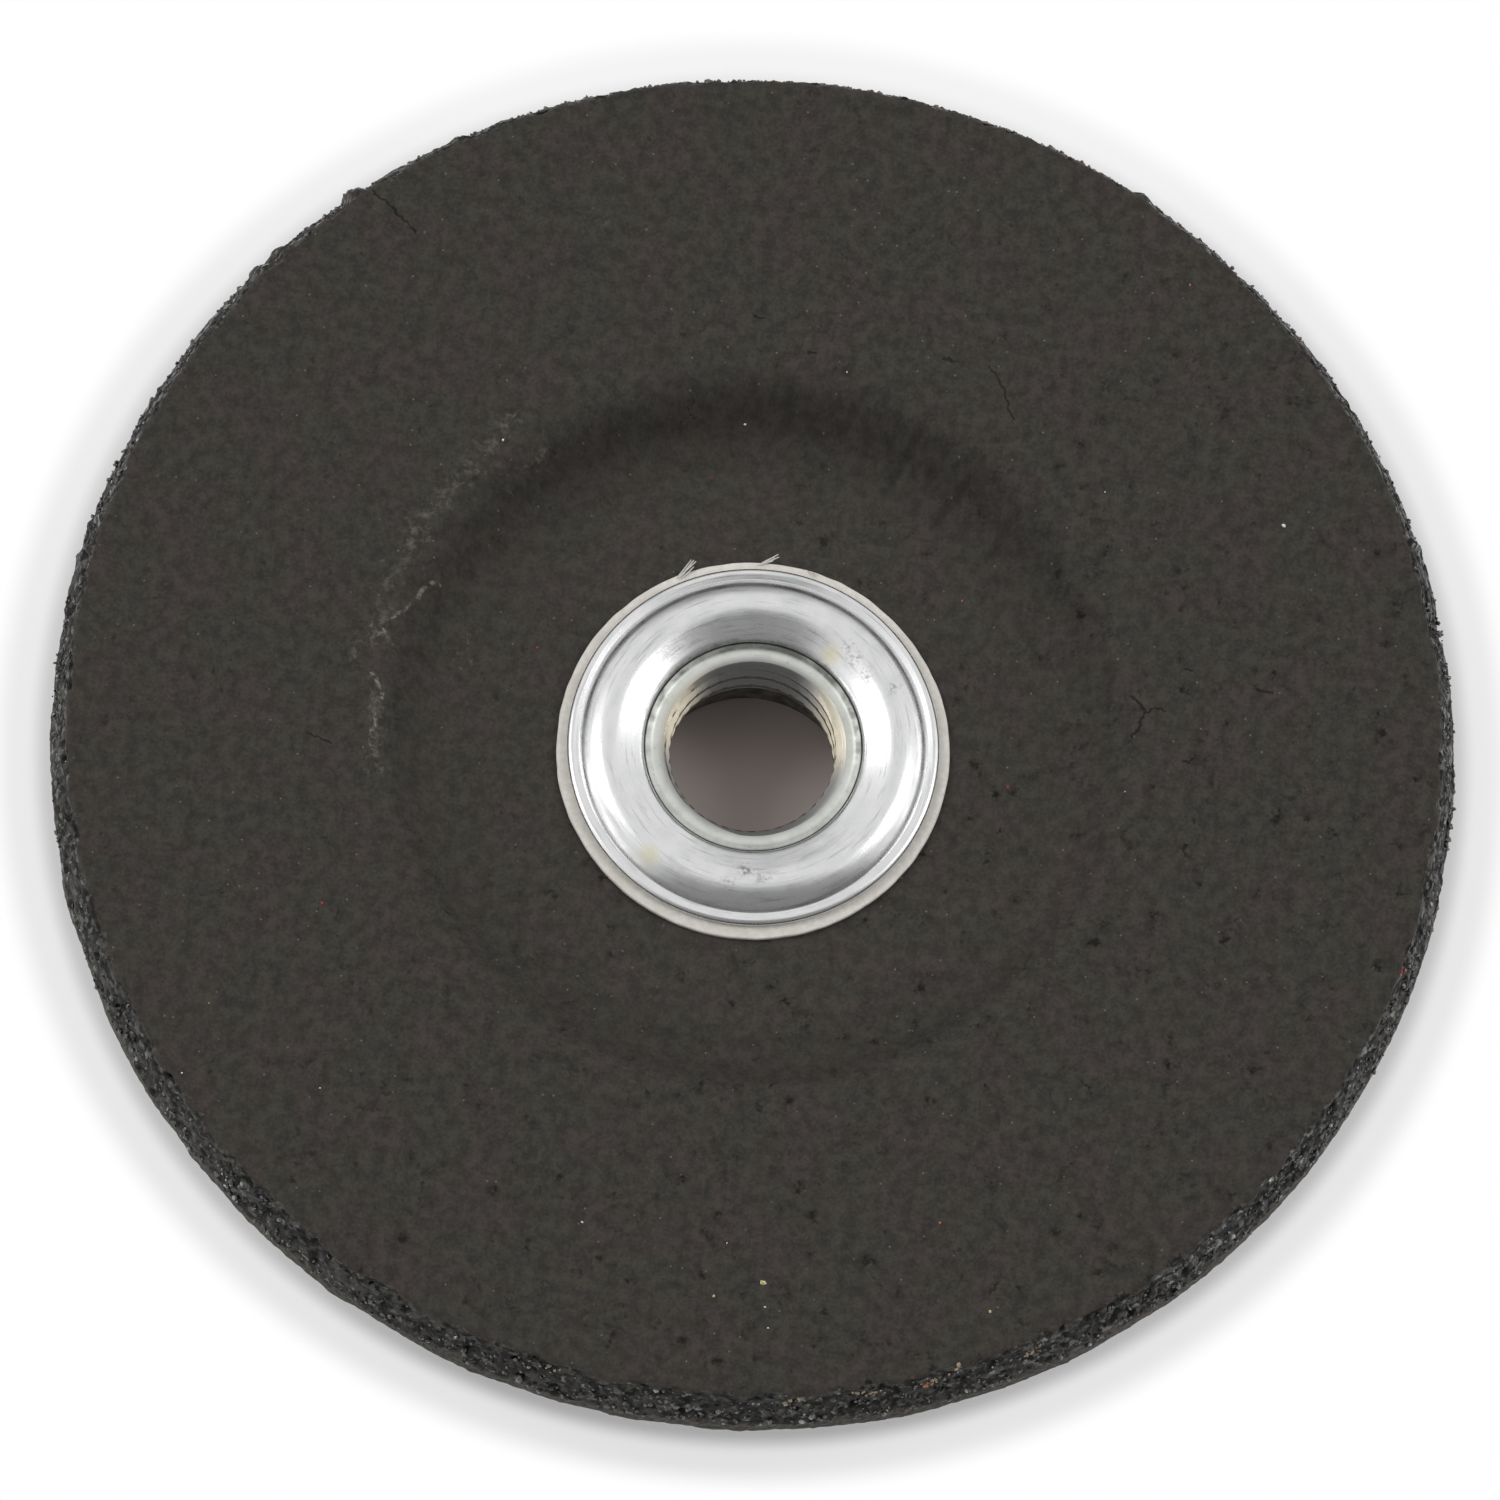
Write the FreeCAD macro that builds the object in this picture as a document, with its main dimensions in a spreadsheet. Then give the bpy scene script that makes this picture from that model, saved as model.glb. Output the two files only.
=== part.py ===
import FreeCAD, Part
import math
import os

import Sketcher

# A hubbed grinding disc with a depressed centre: an abrasive wheel, the threaded hub nut
# that goes through it from the machine side, and the washer and pressed flange that hold
# it on the work side. The disc rests on the hub nut's end face, with its hollow upwards.
# Frame: origin at the centre of that end face, +Z along the bore towards the work side.
# Every length is in millimetres and every angle in degrees.

os.makedirs("parts", exist_ok=True)
doc = FreeCAD.newDocument("grinding_disc")

SIZES = [
    ("wheel_radius", 57.15, "outer radius of the wheel, a 4 1/2 inch disc"),
    ("wheel_thickness", 6.35, "thickness of the wheel along the axis, 1/4 inch"),
    ("dish_depth", 4.6, "how far the centre lies below the outer ring"),
    ("dish_floor_radius", 24.9, "radius of the flat floor of the hollow"),
    ("dish_blend_radius", 3.4, "rounding at the foot and at the brow of the slope"),
    ("dish_slope_angle", 50, "steepness of the slope round the hollow"),
    ("rim_band_height", 2.1, "upright band at the lower edge of the rim"),
    ("rim_setback", 1.75, "how far the face stops short of the full radius"),
    ("rim_face_rounding", 0.6, "rounding between the face and the sloping rim"),
    ("rim_back_rounding", 0.4, "rounding between the back and the upright band"),
    ("thread_minor_radius", 6.75, "crest radius of the 5/8-11 thread in the hub"),
    ("thread_major_radius", 7.94, "root radius of the same thread"),
    ("thread_chamfer", 0.55, "chamfer where the thread opens on the work side"),
    ("thread_depth", 6.3, "from the work side end of the hub to the thread's last turn"),
    ("relief_clearance", 0.66, "room round the spindle's shoulder in the relief bore"),
    ("relief_chamfer", 0.5, "chamfer at the mouth of the relief bore"),
    ("barrel_wall", 2.4, "wall of the barrel round the relief bore"),
    ("bore_clearance", 0.115, "room between the barrel and the wheel's bore"),
    ("neck_wall", 0.86, "metal between the thread's root and the outside of the neck"),
    ("staked_rim_rise", 0.2, "how far the neck's staked rim stands above the hub's face"),
    ("staked_rim_width", 0.65, "width of the cone from that rim down to the hub's face"),
    ("shoulder_stand", 0.2, "how far the barrel's shoulder stands above the wheel's floor"),
    ("hex_height", 5.5, "height of the wrench hexagon"),
    ("hex_wall", 2.5, "metal between the relief bore and the middle of a hexagon flat"),
    ("hex_corner_angle", 30, "slope of the chamfer on the hexagon's corners"),
    ("hex_corner_share", 0.97, "chamfer circle at the end face, as a share of the flats' circle"),
    ("nut_flange_width", 6.0, "how far the hub nut's flange stands out from the barrel"),
    ("nut_flange_thickness", 2.0, "thickness of that flange at its root"),
    ("nut_flange_rim", 1.1, "thickness of that flange at its rim"),
    ("nut_flange_root", 0.8, "flat ring between the hexagon's corners and the flange's cone"),
    ("washer_thickness", 0.5, "thickness of the washer"),
    ("washer_overhang", 0.85, "how far the washer shows round the front flange"),
    ("washer_bore_clearance", 0.25, "room between the washer and the barrel"),
    ("sheet_thickness", 0.8, "steel sheet of the front flange"),
    ("joint_clearance", 0.05, "gap between the neck and the front flange"),
    ("flange_width", 6.3, "front flange from its inner to its outer edge"),
    ("inner_foot_length", 0.05, "flat length of sheet on the barrel's shoulder"),
    ("foot_fold_radius", 0.08, "inside radius of the fold between that foot and the bead"),
    ("groove_fold_radius", 0.1, "inside radius of the sharp fold between bead and lip"),
    ("bead_height", 2.0, "crest of the bead above the washer"),
    ("lip_angle", 14, "steepness of the lip outside the groove"),
    ("lip_length", 0.45, "straight part of the lip"),
]


def make_sheet():
    """Puts every driving size in one spreadsheet, with its name as the alias."""
    sheet = doc.addObject("Spreadsheet::Sheet", "sizes")
    for row, (alias, number, meaning) in enumerate(SIZES, start=1):
        sheet.set(f"A{row}", meaning)
        sheet.set(f"B{row}", str(number))
        sheet.setAlias(f"B{row}", alias)
    doc.recompute()
    return {alias: float(sheet.get(alias)) for alias, number, meaning in SIZES}


size = make_sheet()

# Sizes that several pieces share, worked out from the sheet.
RELIEF_RADIUS = "(sizes.thread_major_radius + sizes.relief_clearance)"
BARREL_RADIUS = f"({RELIEF_RADIUS} + sizes.barrel_wall)"
NECK_RADIUS = "(sizes.thread_major_radius + sizes.neck_wall)"
NUT_FLANGE_RADIUS = f"({BARREL_RADIUS} + sizes.nut_flange_width)"
HEX_FLAT_RADIUS = f"({RELIEF_RADIUS} + sizes.hex_wall)"
FLANGE_INNER_RADIUS = f"({NECK_RADIUS} + sizes.joint_clearance)"
FLANGE_OUTER_RADIUS = f"({FLANGE_INNER_RADIUS} + sizes.flange_width)"
WHEEL_BACK = "(sizes.hex_height + sizes.nut_flange_thickness)"
WHEEL_FLOOR = f"({WHEEL_BACK} + sizes.wheel_thickness)"
WASHER_TOP = f"({WHEEL_FLOOR} + sizes.washer_thickness)"
SHOULDER = f"({WHEEL_FLOOR} + sizes.shoulder_stand)"
HUB_TOP = f"({SHOULDER} + sizes.sheet_thickness)"
HALF_SHEET = "sizes.sheet_thickness / 2"

relief_radius = size["thread_major_radius"] + size["relief_clearance"]
barrel_radius = relief_radius + size["barrel_wall"]
neck_radius = size["thread_major_radius"] + size["neck_wall"]
nut_flange_radius = barrel_radius + size["nut_flange_width"]
hex_flat_radius = relief_radius + size["hex_wall"]
hex_corner_radius = hex_flat_radius / math.cos(math.radians(30))
flange_inner_radius = neck_radius + size["joint_clearance"]
flange_outer_radius = flange_inner_radius + size["flange_width"]
wheel_back = size["hex_height"] + size["nut_flange_thickness"]
shoulder = wheel_back + size["wheel_thickness"] + size["shoulder_stand"]
hub_top = shoulder + size["sheet_thickness"]


def point(x, y):
    return FreeCAD.Vector(x, y, 0)


def line(start, end):
    """A straight piece of an outline, with the numbers of its start and end points."""
    return Part.LineSegment(point(*start), point(*end)), 1, 2


def arc(centre, radius, start_angle, end_angle):
    """A round piece of an outline, turned from the start angle to the end angle."""
    circle = Part.Circle(point(*centre), FreeCAD.Vector(0, 0, 1), radius)
    low, high = sorted((math.radians(start_angle), math.radians(end_angle)))
    piece = Part.ArcOfCircle(circle, low, high)
    return (piece, 1, 2) if end_angle > start_angle else (piece, 2, 1)


def polar(centre, radius, angle):
    """The point at an angle on a circle."""
    turn = math.radians(angle)
    return centre[0] + radius * math.cos(turn), centre[1] + radius * math.sin(turn)


def new_body(name):
    """A body named after its piece."""
    body = doc.addObject("PartDesign::Body", name)
    body.Label = name
    return body


def origin_feature(body, role):
    """One of the body's own origin planes or axes."""
    return next(feature for feature in body.Origin.OriginFeatures if feature.Role == role)


def new_sketch(body, name, plane):
    """A sketch on one of the body's origin planes."""
    sketch = body.newObject("Sketcher::SketchObject", name)
    sketch.AttachmentSupport = (origin_feature(body, plane), [""])
    sketch.MapMode = "FlatFace"
    return sketch


def draw(sketch, pieces, corners=(), closed=True):
    """Joins pieces end to end, smoothly except after the pieces whose index is in corners."""
    ids = [sketch.addGeometry(piece, False) for piece, start, end in pieces]
    joints = range(len(pieces)) if closed else range(len(pieces) - 1)
    for joint in joints:
        after = (joint + 1) % len(pieces)
        kind = "Coincident" if joint in corners else "Tangent"
        sketch.addConstraint(Sketcher.Constraint(kind, ids[joint], pieces[joint][2],
                                                 ids[after], pieces[after][1]))
    return ids


def draw_polygon(sketch, points):
    """A closed outline of straight lines through the points, its upright and level lines kept so."""
    ends = points[1:] + points[:1]
    pieces = [line(start, end) for start, end in zip(points, ends)]
    ids = draw(sketch, pieces, corners=range(len(pieces)))
    for index, (start, end) in enumerate(zip(points, ends)):
        if abs(start[0] - end[0]) < 1e-9:
            sketch.addConstraint(Sketcher.Constraint("Vertical", ids[index]))
        elif abs(start[1] - end[1]) < 1e-9:
            sketch.addConstraint(Sketcher.Constraint("Horizontal", ids[index]))
    return ids


def drive(sketch, kind, where, expression, value):
    """Adds a size to a sketch and ties it to the spreadsheet."""
    number = sketch.addConstraint(Sketcher.Constraint(kind, *where, value))
    sketch.setExpression(f"Constraints[{number}]", expression)


def place_x(sketch, geometry, end, expression, value):
    """Sets how far a point lies from the axis."""
    drive(sketch, "DistanceX", (-1, 1, geometry, end), expression, value)


def place_y(sketch, geometry, end, expression, value):
    """Sets how high a point lies above the sketch's base line."""
    drive(sketch, "DistanceY", (-1, 1, geometry, end), expression, value)


def revolve(body, name, sketch, kind="PartDesign::Revolution"):
    """Turns a sketch right round the body's own axis, to add or to cut."""
    feature = body.newObject(kind, name)
    feature.Profile = sketch
    feature.ReferenceAxis = (sketch, ["V_Axis"])
    feature.Angle = 360
    return feature


def make_abrasive_wheel():
    """The dished wheel: one revolved outline, the same curve on its back and on its face."""
    body = new_body("abrasive_wheel")
    body.setExpression("Placement.Base.z", WHEEL_BACK)
    sketch = new_sketch(body, "wheel_outline", "XZ_Plane")

    bore = barrel_radius + size["bore_clearance"]
    floor = size["dish_floor_radius"]
    depth = size["dish_depth"]
    thick = size["wheel_thickness"]
    blend = size["dish_blend_radius"]
    slope = size["dish_slope_angle"]
    rim = size["wheel_radius"]
    edge = size["rim_back_rounding"]
    brow = size["rim_face_rounding"]
    face_edge = rim - size["rim_setback"]
    turn = math.radians(slope)
    ramp = (depth - 2 * blend * (1 - math.cos(turn))) / math.sin(turn)
    ring = floor + 2 * blend * math.sin(turn) + ramp * math.cos(turn)
    band_top = depth + size["rim_band_height"]
    reach = math.hypot(rim - face_edge, band_top - (depth + thick - brow))
    draft = math.degrees(math.atan2(band_top - (depth + thick - brow), rim - face_edge)
                         + math.acos(brow / reach))

    back_foot = (floor, blend)
    back_brow = (ring, depth - blend)
    face_foot = (floor, thick + blend)
    face_brow = (ring, thick + depth - blend)
    face_corner = (face_edge, depth + thick - brow)
    pieces = [
        line((bore, 0), (floor, 0)),
        arc(back_foot, blend, -90, -90 + slope),
        line(polar(back_foot, blend, -90 + slope), polar(back_brow, blend, 90 + slope)),
        arc(back_brow, blend, 90 + slope, 90),
        line((ring, depth), (rim - edge, depth)),
        arc((rim - edge, depth + edge), edge, -90, 0),
        line((rim, depth + edge), (rim, band_top)),
        line((rim, band_top), polar(face_corner, brow, draft)),
        arc(face_corner, brow, draft, 90),
        line((face_edge, depth + thick), (ring, depth + thick)),
        arc(face_brow, blend, 90, 90 + slope),
        line(polar(face_brow, blend, 90 + slope), polar(face_foot, blend, -90 + slope)),
        arc(face_foot, blend, -90 + slope, -90),
        line((floor, thick), (bore, thick)),
        line((bore, thick), (bore, 0)),
    ]
    ids = draw(sketch, pieces, corners=(6, 13, 14))
    (back_floor, back_lower, back_ramp, back_upper, back_ring, back_edge, band, taper, face_round,
     face_ring, face_upper, face_ramp, face_lower, face_floor, bore_wall) = ids
    for level in (back_floor, back_ring, face_ring, face_floor):
        sketch.addConstraint(Sketcher.Constraint("Horizontal", level))
    for upright in (band, bore_wall):
        sketch.addConstraint(Sketcher.Constraint("Vertical", upright))

    place_x(sketch, back_floor, 1, f"{BARREL_RADIUS} + sizes.bore_clearance", bore)
    sketch.addConstraint(Sketcher.Constraint("PointOnObject", back_floor, 1, -1))
    place_x(sketch, back_floor, 2, "sizes.dish_floor_radius", floor)
    place_x(sketch, face_floor, 1, "sizes.dish_floor_radius", floor)
    place_y(sketch, face_floor, 1, "sizes.wheel_thickness", thick)
    place_y(sketch, back_ring, 1, "sizes.dish_depth", depth)
    place_y(sketch, face_ring, 1, "sizes.wheel_thickness + sizes.dish_depth", thick + depth)
    for bend in (back_lower, back_upper, face_upper, face_lower):
        drive(sketch, "Radius", (bend,), "sizes.dish_blend_radius", blend)
    drive(sketch, "Angle", (-1, 1, back_ramp, 1), "sizes.dish_slope_angle", turn)
    drive(sketch, "Angle", (-1, 1, face_ramp, 2), "sizes.dish_slope_angle", turn)
    place_x(sketch, band, 1, "sizes.wheel_radius", rim)
    place_y(sketch, band, 2, "sizes.dish_depth + sizes.rim_band_height", band_top)
    drive(sketch, "Radius", (back_edge,), "sizes.rim_back_rounding", edge)
    drive(sketch, "Radius", (face_round,), "sizes.rim_face_rounding", brow)
    place_x(sketch, face_ring, 1, "sizes.wheel_radius - sizes.rim_setback", face_edge)
    revolve(body, "dished_wheel", sketch)
    return body


def make_hub_nut():
    """The hub: a wrench hexagon, a coned flange, a barrel with a neck, and a stepped bore."""
    body = new_body("hub_nut")

    hexagon = new_sketch(body, "hexagon_outline", "XY_Plane")
    corners = [polar((0, 0), hex_corner_radius, 60 * step + 60) for step in range(6)]
    ids = [hexagon.addGeometry(line(corners[step], corners[(step + 1) % 6])[0], False)
           for step in range(6)]
    circle = hexagon.addGeometry(Part.Circle(point(0, 0), FreeCAD.Vector(0, 0, 1),
                                             hex_corner_radius), True)
    for step in range(6):
        hexagon.addConstraint(Sketcher.Constraint("Coincident", ids[step], 2,
                                                  ids[(step + 1) % 6], 1))
        hexagon.addConstraint(Sketcher.Constraint("PointOnObject", ids[step], 1, circle))
    for step in range(5):
        hexagon.addConstraint(Sketcher.Constraint("Equal", ids[step], ids[step + 1]))
    hexagon.addConstraint(Sketcher.Constraint("Coincident", circle, 3, -1, 1))
    hexagon.addConstraint(Sketcher.Constraint("Horizontal", ids[0]))
    place_y(hexagon, ids[0], 1, HEX_FLAT_RADIUS, hex_flat_radius)
    pad = body.newObject("PartDesign::Pad", "wrench_hexagon")
    pad.Profile = hexagon
    pad.setExpression("Length", "sizes.hex_height")

    outline = new_sketch(body, "barrel_outline", "XZ_Plane")
    hex_top = size["hex_height"]
    cone_start = hex_corner_radius + size["nut_flange_root"]
    rim_low = wheel_back - size["nut_flange_rim"]
    ids = draw_polygon(outline, [
        (0, hex_top), (cone_start, hex_top), (nut_flange_radius, rim_low),
        (nut_flange_radius, wheel_back), (barrel_radius, wheel_back),
        (barrel_radius, shoulder), (neck_radius, shoulder),
        (neck_radius, hub_top + size["staked_rim_rise"]),
        (neck_radius - size["staked_rim_width"], hub_top), (0, hub_top),
    ])
    outline.addConstraint(Sketcher.Constraint("PointOnObject", ids[0], 1, -2))
    place_y(outline, ids[0], 1, "sizes.hex_height", hex_top)
    place_x(outline, ids[0], 2, f"{HEX_FLAT_RADIUS} / cos(30 deg) + sizes.nut_flange_root",
            cone_start)
    place_x(outline, ids[2], 1, NUT_FLANGE_RADIUS, nut_flange_radius)
    place_y(outline, ids[2], 1, f"{WHEEL_BACK} - sizes.nut_flange_rim", rim_low)
    place_y(outline, ids[2], 2, WHEEL_BACK, wheel_back)
    place_x(outline, ids[4], 1, BARREL_RADIUS, barrel_radius)
    place_y(outline, ids[4], 2, SHOULDER, shoulder)
    place_x(outline, ids[6], 1, NECK_RADIUS, neck_radius)
    place_y(outline, ids[6], 2, f"{HUB_TOP} + sizes.staked_rim_rise",
            hub_top + size["staked_rim_rise"])
    place_x(outline, ids[8], 1, f"{NECK_RADIUS} - sizes.staked_rim_width",
            neck_radius - size["staked_rim_width"])
    place_y(outline, ids[8], 1, HUB_TOP, hub_top)
    revolve(body, "flange_and_barrel", outline)

    corner = new_sketch(body, "corner_chamfer_outline", "XZ_Plane")
    start = size["hex_corner_share"] * hex_flat_radius
    reach = hex_corner_radius + size["relief_chamfer"]
    rise = (reach - start) * math.tan(math.radians(size["hex_corner_angle"]))
    ids = draw_polygon(corner, [(start, 0), (reach, 0), (reach, rise)])
    corner.addConstraint(Sketcher.Constraint("PointOnObject", ids[0], 1, -1))
    place_x(corner, ids[0], 1, f"sizes.hex_corner_share * {HEX_FLAT_RADIUS}", start)
    place_x(corner, ids[0], 2, f"{HEX_FLAT_RADIUS} / cos(30 deg) + sizes.relief_chamfer", reach)
    drive(corner, "Angle", (ids[0], 1, ids[2], 2), "sizes.hex_corner_angle",
          math.radians(size["hex_corner_angle"]))
    revolve(body, "hexagon_corner_chamfer", corner, "PartDesign::Groove")

    bore = new_sketch(body, "stepped_bore_outline", "XZ_Plane")
    thread_end = hub_top - size["thread_depth"]
    cone_drop = relief_radius - size["thread_minor_radius"]
    ids = draw_polygon(bore, [
        (0, 0), (relief_radius + size["relief_chamfer"], 0),
        (relief_radius, size["relief_chamfer"]), (relief_radius, thread_end - cone_drop),
        (size["thread_minor_radius"], thread_end),
        (size["thread_minor_radius"], hub_top - size["thread_chamfer"]),
        (size["thread_minor_radius"] + size["thread_chamfer"], hub_top), (0, hub_top),
    ])
    bore.addConstraint(Sketcher.Constraint("Coincident", ids[0], 1, -1, 1))
    place_x(bore, ids[0], 2, f"{RELIEF_RADIUS} + sizes.relief_chamfer",
            relief_radius + size["relief_chamfer"])
    place_x(bore, ids[2], 1, RELIEF_RADIUS, relief_radius)
    place_y(bore, ids[2], 1, "sizes.relief_chamfer", size["relief_chamfer"])
    place_y(bore, ids[2], 2,
            f"{HUB_TOP} - sizes.thread_depth - {RELIEF_RADIUS} + sizes.thread_minor_radius",
            thread_end - cone_drop)
    place_x(bore, ids[4], 1, "sizes.thread_minor_radius", size["thread_minor_radius"])
    place_y(bore, ids[4], 1, f"{HUB_TOP} - sizes.thread_depth", thread_end)
    place_y(bore, ids[4], 2, f"{HUB_TOP} - sizes.thread_chamfer",
            hub_top - size["thread_chamfer"])
    place_x(bore, ids[6], 1, "sizes.thread_minor_radius + sizes.thread_chamfer",
            size["thread_minor_radius"] + size["thread_chamfer"])
    place_y(bore, ids[6], 1, HUB_TOP, hub_top)
    revolve(body, "stepped_bore", bore, "PartDesign::Groove")
    return body


def make_front_washer():
    """The thin flat ring between the wheel's floor and the front flange."""
    body = new_body("front_washer")
    body.setExpression("Placement.Base.z", WHEEL_FLOOR)
    sketch = new_sketch(body, "washer_outline", "XY_Plane")
    rings = (
        (f"{FLANGE_OUTER_RADIUS} + sizes.washer_overhang",
         flange_outer_radius + size["washer_overhang"]),
        (f"{BARREL_RADIUS} + sizes.washer_bore_clearance",
         barrel_radius + size["washer_bore_clearance"]),
    )
    for expression, radius in rings:
        ring = sketch.addGeometry(Part.Circle(point(0, 0), FreeCAD.Vector(0, 0, 1), radius),
                                  False)
        sketch.addConstraint(Sketcher.Constraint("Coincident", ring, 3, -1, 1))
        drive(sketch, "Radius", (ring,), expression, radius)
    pad = body.newObject("PartDesign::Pad", "washer_ring")
    pad.Profile = sketch
    pad.setExpression("Length", "sizes.washer_thickness")
    return body


def make_front_flange():
    """The pressed flange: the middle line of its sheet, thickened both ways and turned round.

    From the neck outwards the middle line has a foot on the barrel's shoulder, a fold, the
    round bead, a sharp fold that makes the groove, and the straight lip. The bead's radius is
    what fills the width between the two folds. Heights count from the washer's top.
    """
    path = doc.addObject("Sketcher::SketchObject", "flange_middle_line")
    half = size["sheet_thickness"] / 2
    foot_fold = size["foot_fold_radius"] + half
    groove_fold = size["groove_fold_radius"] + half
    inner_level = size["shoulder_stand"] - size["washer_thickness"] + half
    crest = size["bead_height"] - half
    lip = size["lip_angle"]
    lip_turn = math.radians(lip)
    start = flange_inner_radius + half
    first = start + size["inner_foot_length"]
    end = flange_outer_radius - half
    last = end - size["lip_length"] * math.cos(lip_turn) - groove_fold * math.sin(lip_turn)
    bead = (last - first) / 2 - foot_fold / 4
    middle = ((first + last) / 2, crest - bead)
    inner_centre = (first, inner_level + foot_fold)
    outer_centre = (last, half + groove_fold)
    inner_meet = math.degrees(math.atan2(inner_centre[1] - middle[1], inner_centre[0] - middle[0]))
    outer_meet = math.degrees(math.atan2(outer_centre[1] - middle[1], outer_centre[0] - middle[0]))
    lip_start = polar(outer_centre, groove_fold, -90 + lip)
    pieces = [
        line((start, inner_level), (first, inner_level)),
        arc(inner_centre, foot_fold, -90, inner_meet - 180),
        arc(middle, bead, inner_meet, outer_meet),
        arc(outer_centre, groove_fold, outer_meet + 180, 270 + lip),
        line(lip_start, polar(lip_start, size["lip_length"], lip)),
    ]
    ids = draw(path, pieces, closed=False)
    inner_foot, inner_fold, dome, groove, lip_line = ids
    upright = path.addGeometry(line(middle, (middle[0], crest))[0], True)
    path.addConstraint(Sketcher.Constraint("Coincident", upright, 1, dome, 3))
    path.addConstraint(Sketcher.Constraint("Vertical", upright))
    path.addConstraint(Sketcher.Constraint("PointOnObject", upright, 2, dome))
    path.addConstraint(Sketcher.Constraint("Horizontal", inner_foot))
    place_x(path, inner_foot, 1, f"{FLANGE_INNER_RADIUS} + {HALF_SHEET}", start)
    place_y(path, inner_foot, 1,
            f"sizes.shoulder_stand - sizes.washer_thickness + {HALF_SHEET}", inner_level)
    drive(path, "Distance", (inner_foot,), "sizes.inner_foot_length", size["inner_foot_length"])
    drive(path, "Radius", (inner_fold,), f"sizes.foot_fold_radius + {HALF_SHEET}", foot_fold)
    drive(path, "Radius", (groove,), f"sizes.groove_fold_radius + {HALF_SHEET}", groove_fold)
    place_y(path, upright, 2, f"sizes.bead_height - {HALF_SHEET}", crest)
    place_y(path, groove, 3, f"sizes.groove_fold_radius + sizes.sheet_thickness",
            half + groove_fold)
    drive(path, "Distance", (lip_line,), "sizes.lip_length", size["lip_length"])
    drive(path, "Angle", (-1, 1, lip_line, 1), "sizes.lip_angle", lip_turn)
    place_x(path, lip_line, 2, f"{FLANGE_OUTER_RADIUS} - {HALF_SHEET}", end)

    section = doc.addObject("Part::Offset2D", "flange_section")
    section.Source = path
    section.setExpression("Value", HALF_SHEET)
    section.Fill = True
    upright_path = FreeCAD.Rotation(FreeCAD.Vector(1, 0, 0), 90)
    path.Placement = FreeCAD.Placement(FreeCAD.Vector(0, 0, 0), upright_path)

    ring = doc.addObject("Part::Revolution", "front_flange")
    ring.Label = "front_flange"
    ring.Source = section
    ring.Axis = FreeCAD.Vector(0, 0, 1)
    ring.Base = FreeCAD.Vector(0, 0, 0)
    ring.Angle = 360
    ring.Solid = True
    ring.setExpression("Placement.Base.z", WASHER_TOP)
    return ring


def check_and_export(pieces):
    """Stops if anything failed, and otherwise writes one file for each piece."""
    for item in doc.Objects:
        if "Invalid" in item.State or "Error" in item.State:
            raise RuntimeError(f"{item.Name} failed: {item.State}")
        if item.isDerivedFrom("Sketcher::SketchObject") and item.solve() != 0:
            raise RuntimeError(f"the outline {item.Name} does not solve")
    for piece in pieces:
        shape = piece.Shape
        if shape.isNull() or not shape.isValid() or len(shape.Solids) != 1:
            raise RuntimeError(f"{piece.Label} is not one valid solid")
        shape.exportStep(f"parts/{piece.Label}.step")
        box = shape.BoundBox
        print(f"{piece.Label}: volume {shape.Volume:.2f} mm3, radius {box.XMax:.3f},"
              f" z {box.ZMin:.3f} to {box.ZMax:.3f}")


pieces = [make_abrasive_wheel(), make_hub_nut(), make_front_washer(), make_front_flange()]
doc.recompute()
check_and_export(pieces)
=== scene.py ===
import math
import bpy
import numpy as np
from mathutils import Matrix, Vector


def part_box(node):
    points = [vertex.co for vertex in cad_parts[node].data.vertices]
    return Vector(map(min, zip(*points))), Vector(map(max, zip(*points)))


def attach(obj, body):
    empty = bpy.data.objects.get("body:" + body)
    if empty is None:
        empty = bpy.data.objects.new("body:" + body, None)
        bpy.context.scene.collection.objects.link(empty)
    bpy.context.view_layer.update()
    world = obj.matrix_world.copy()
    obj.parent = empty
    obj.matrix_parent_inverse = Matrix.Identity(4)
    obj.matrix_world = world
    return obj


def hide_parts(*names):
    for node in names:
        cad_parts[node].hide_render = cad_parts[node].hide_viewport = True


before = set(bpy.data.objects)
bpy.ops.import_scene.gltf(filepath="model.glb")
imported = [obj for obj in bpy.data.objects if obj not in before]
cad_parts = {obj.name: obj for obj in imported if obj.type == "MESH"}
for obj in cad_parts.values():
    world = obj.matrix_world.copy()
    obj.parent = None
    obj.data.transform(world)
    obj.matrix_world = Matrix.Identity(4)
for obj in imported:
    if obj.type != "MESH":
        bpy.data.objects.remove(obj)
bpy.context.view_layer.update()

# A hubbed grinding disc, lying on its hub nut with its hollow work side up. Four pieces
# stand for the four solids, and three small ones hold loose grit, specks and stray fibres.
# Lengths are in millimetres. Only the finished meshes are in metres.

MM = 0.001

# Places that the solids give.
wheel_low, wheel_high = [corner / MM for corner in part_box("abrasive_wheel")]
nut_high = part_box("hub_nut")[1] / MM
flange_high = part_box("front_flange")[1] / MM
washer_low, washer_high = [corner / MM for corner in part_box("front_washer")]
WHEEL_RADIUS = wheel_high.x
WHEEL_BACK = wheel_low.z
WHEEL_FACE = wheel_high.z
WHEEL_FLOOR = washer_low.z
WASHER_TOP = washer_high.z
WASHER_RADIUS = washer_high.x
STAKED_RIM_RISE = 0.2
HUB_FACE = nut_high.z - STAKED_RIM_RISE
NUT_FLANGE_RADIUS = nut_high.y

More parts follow.
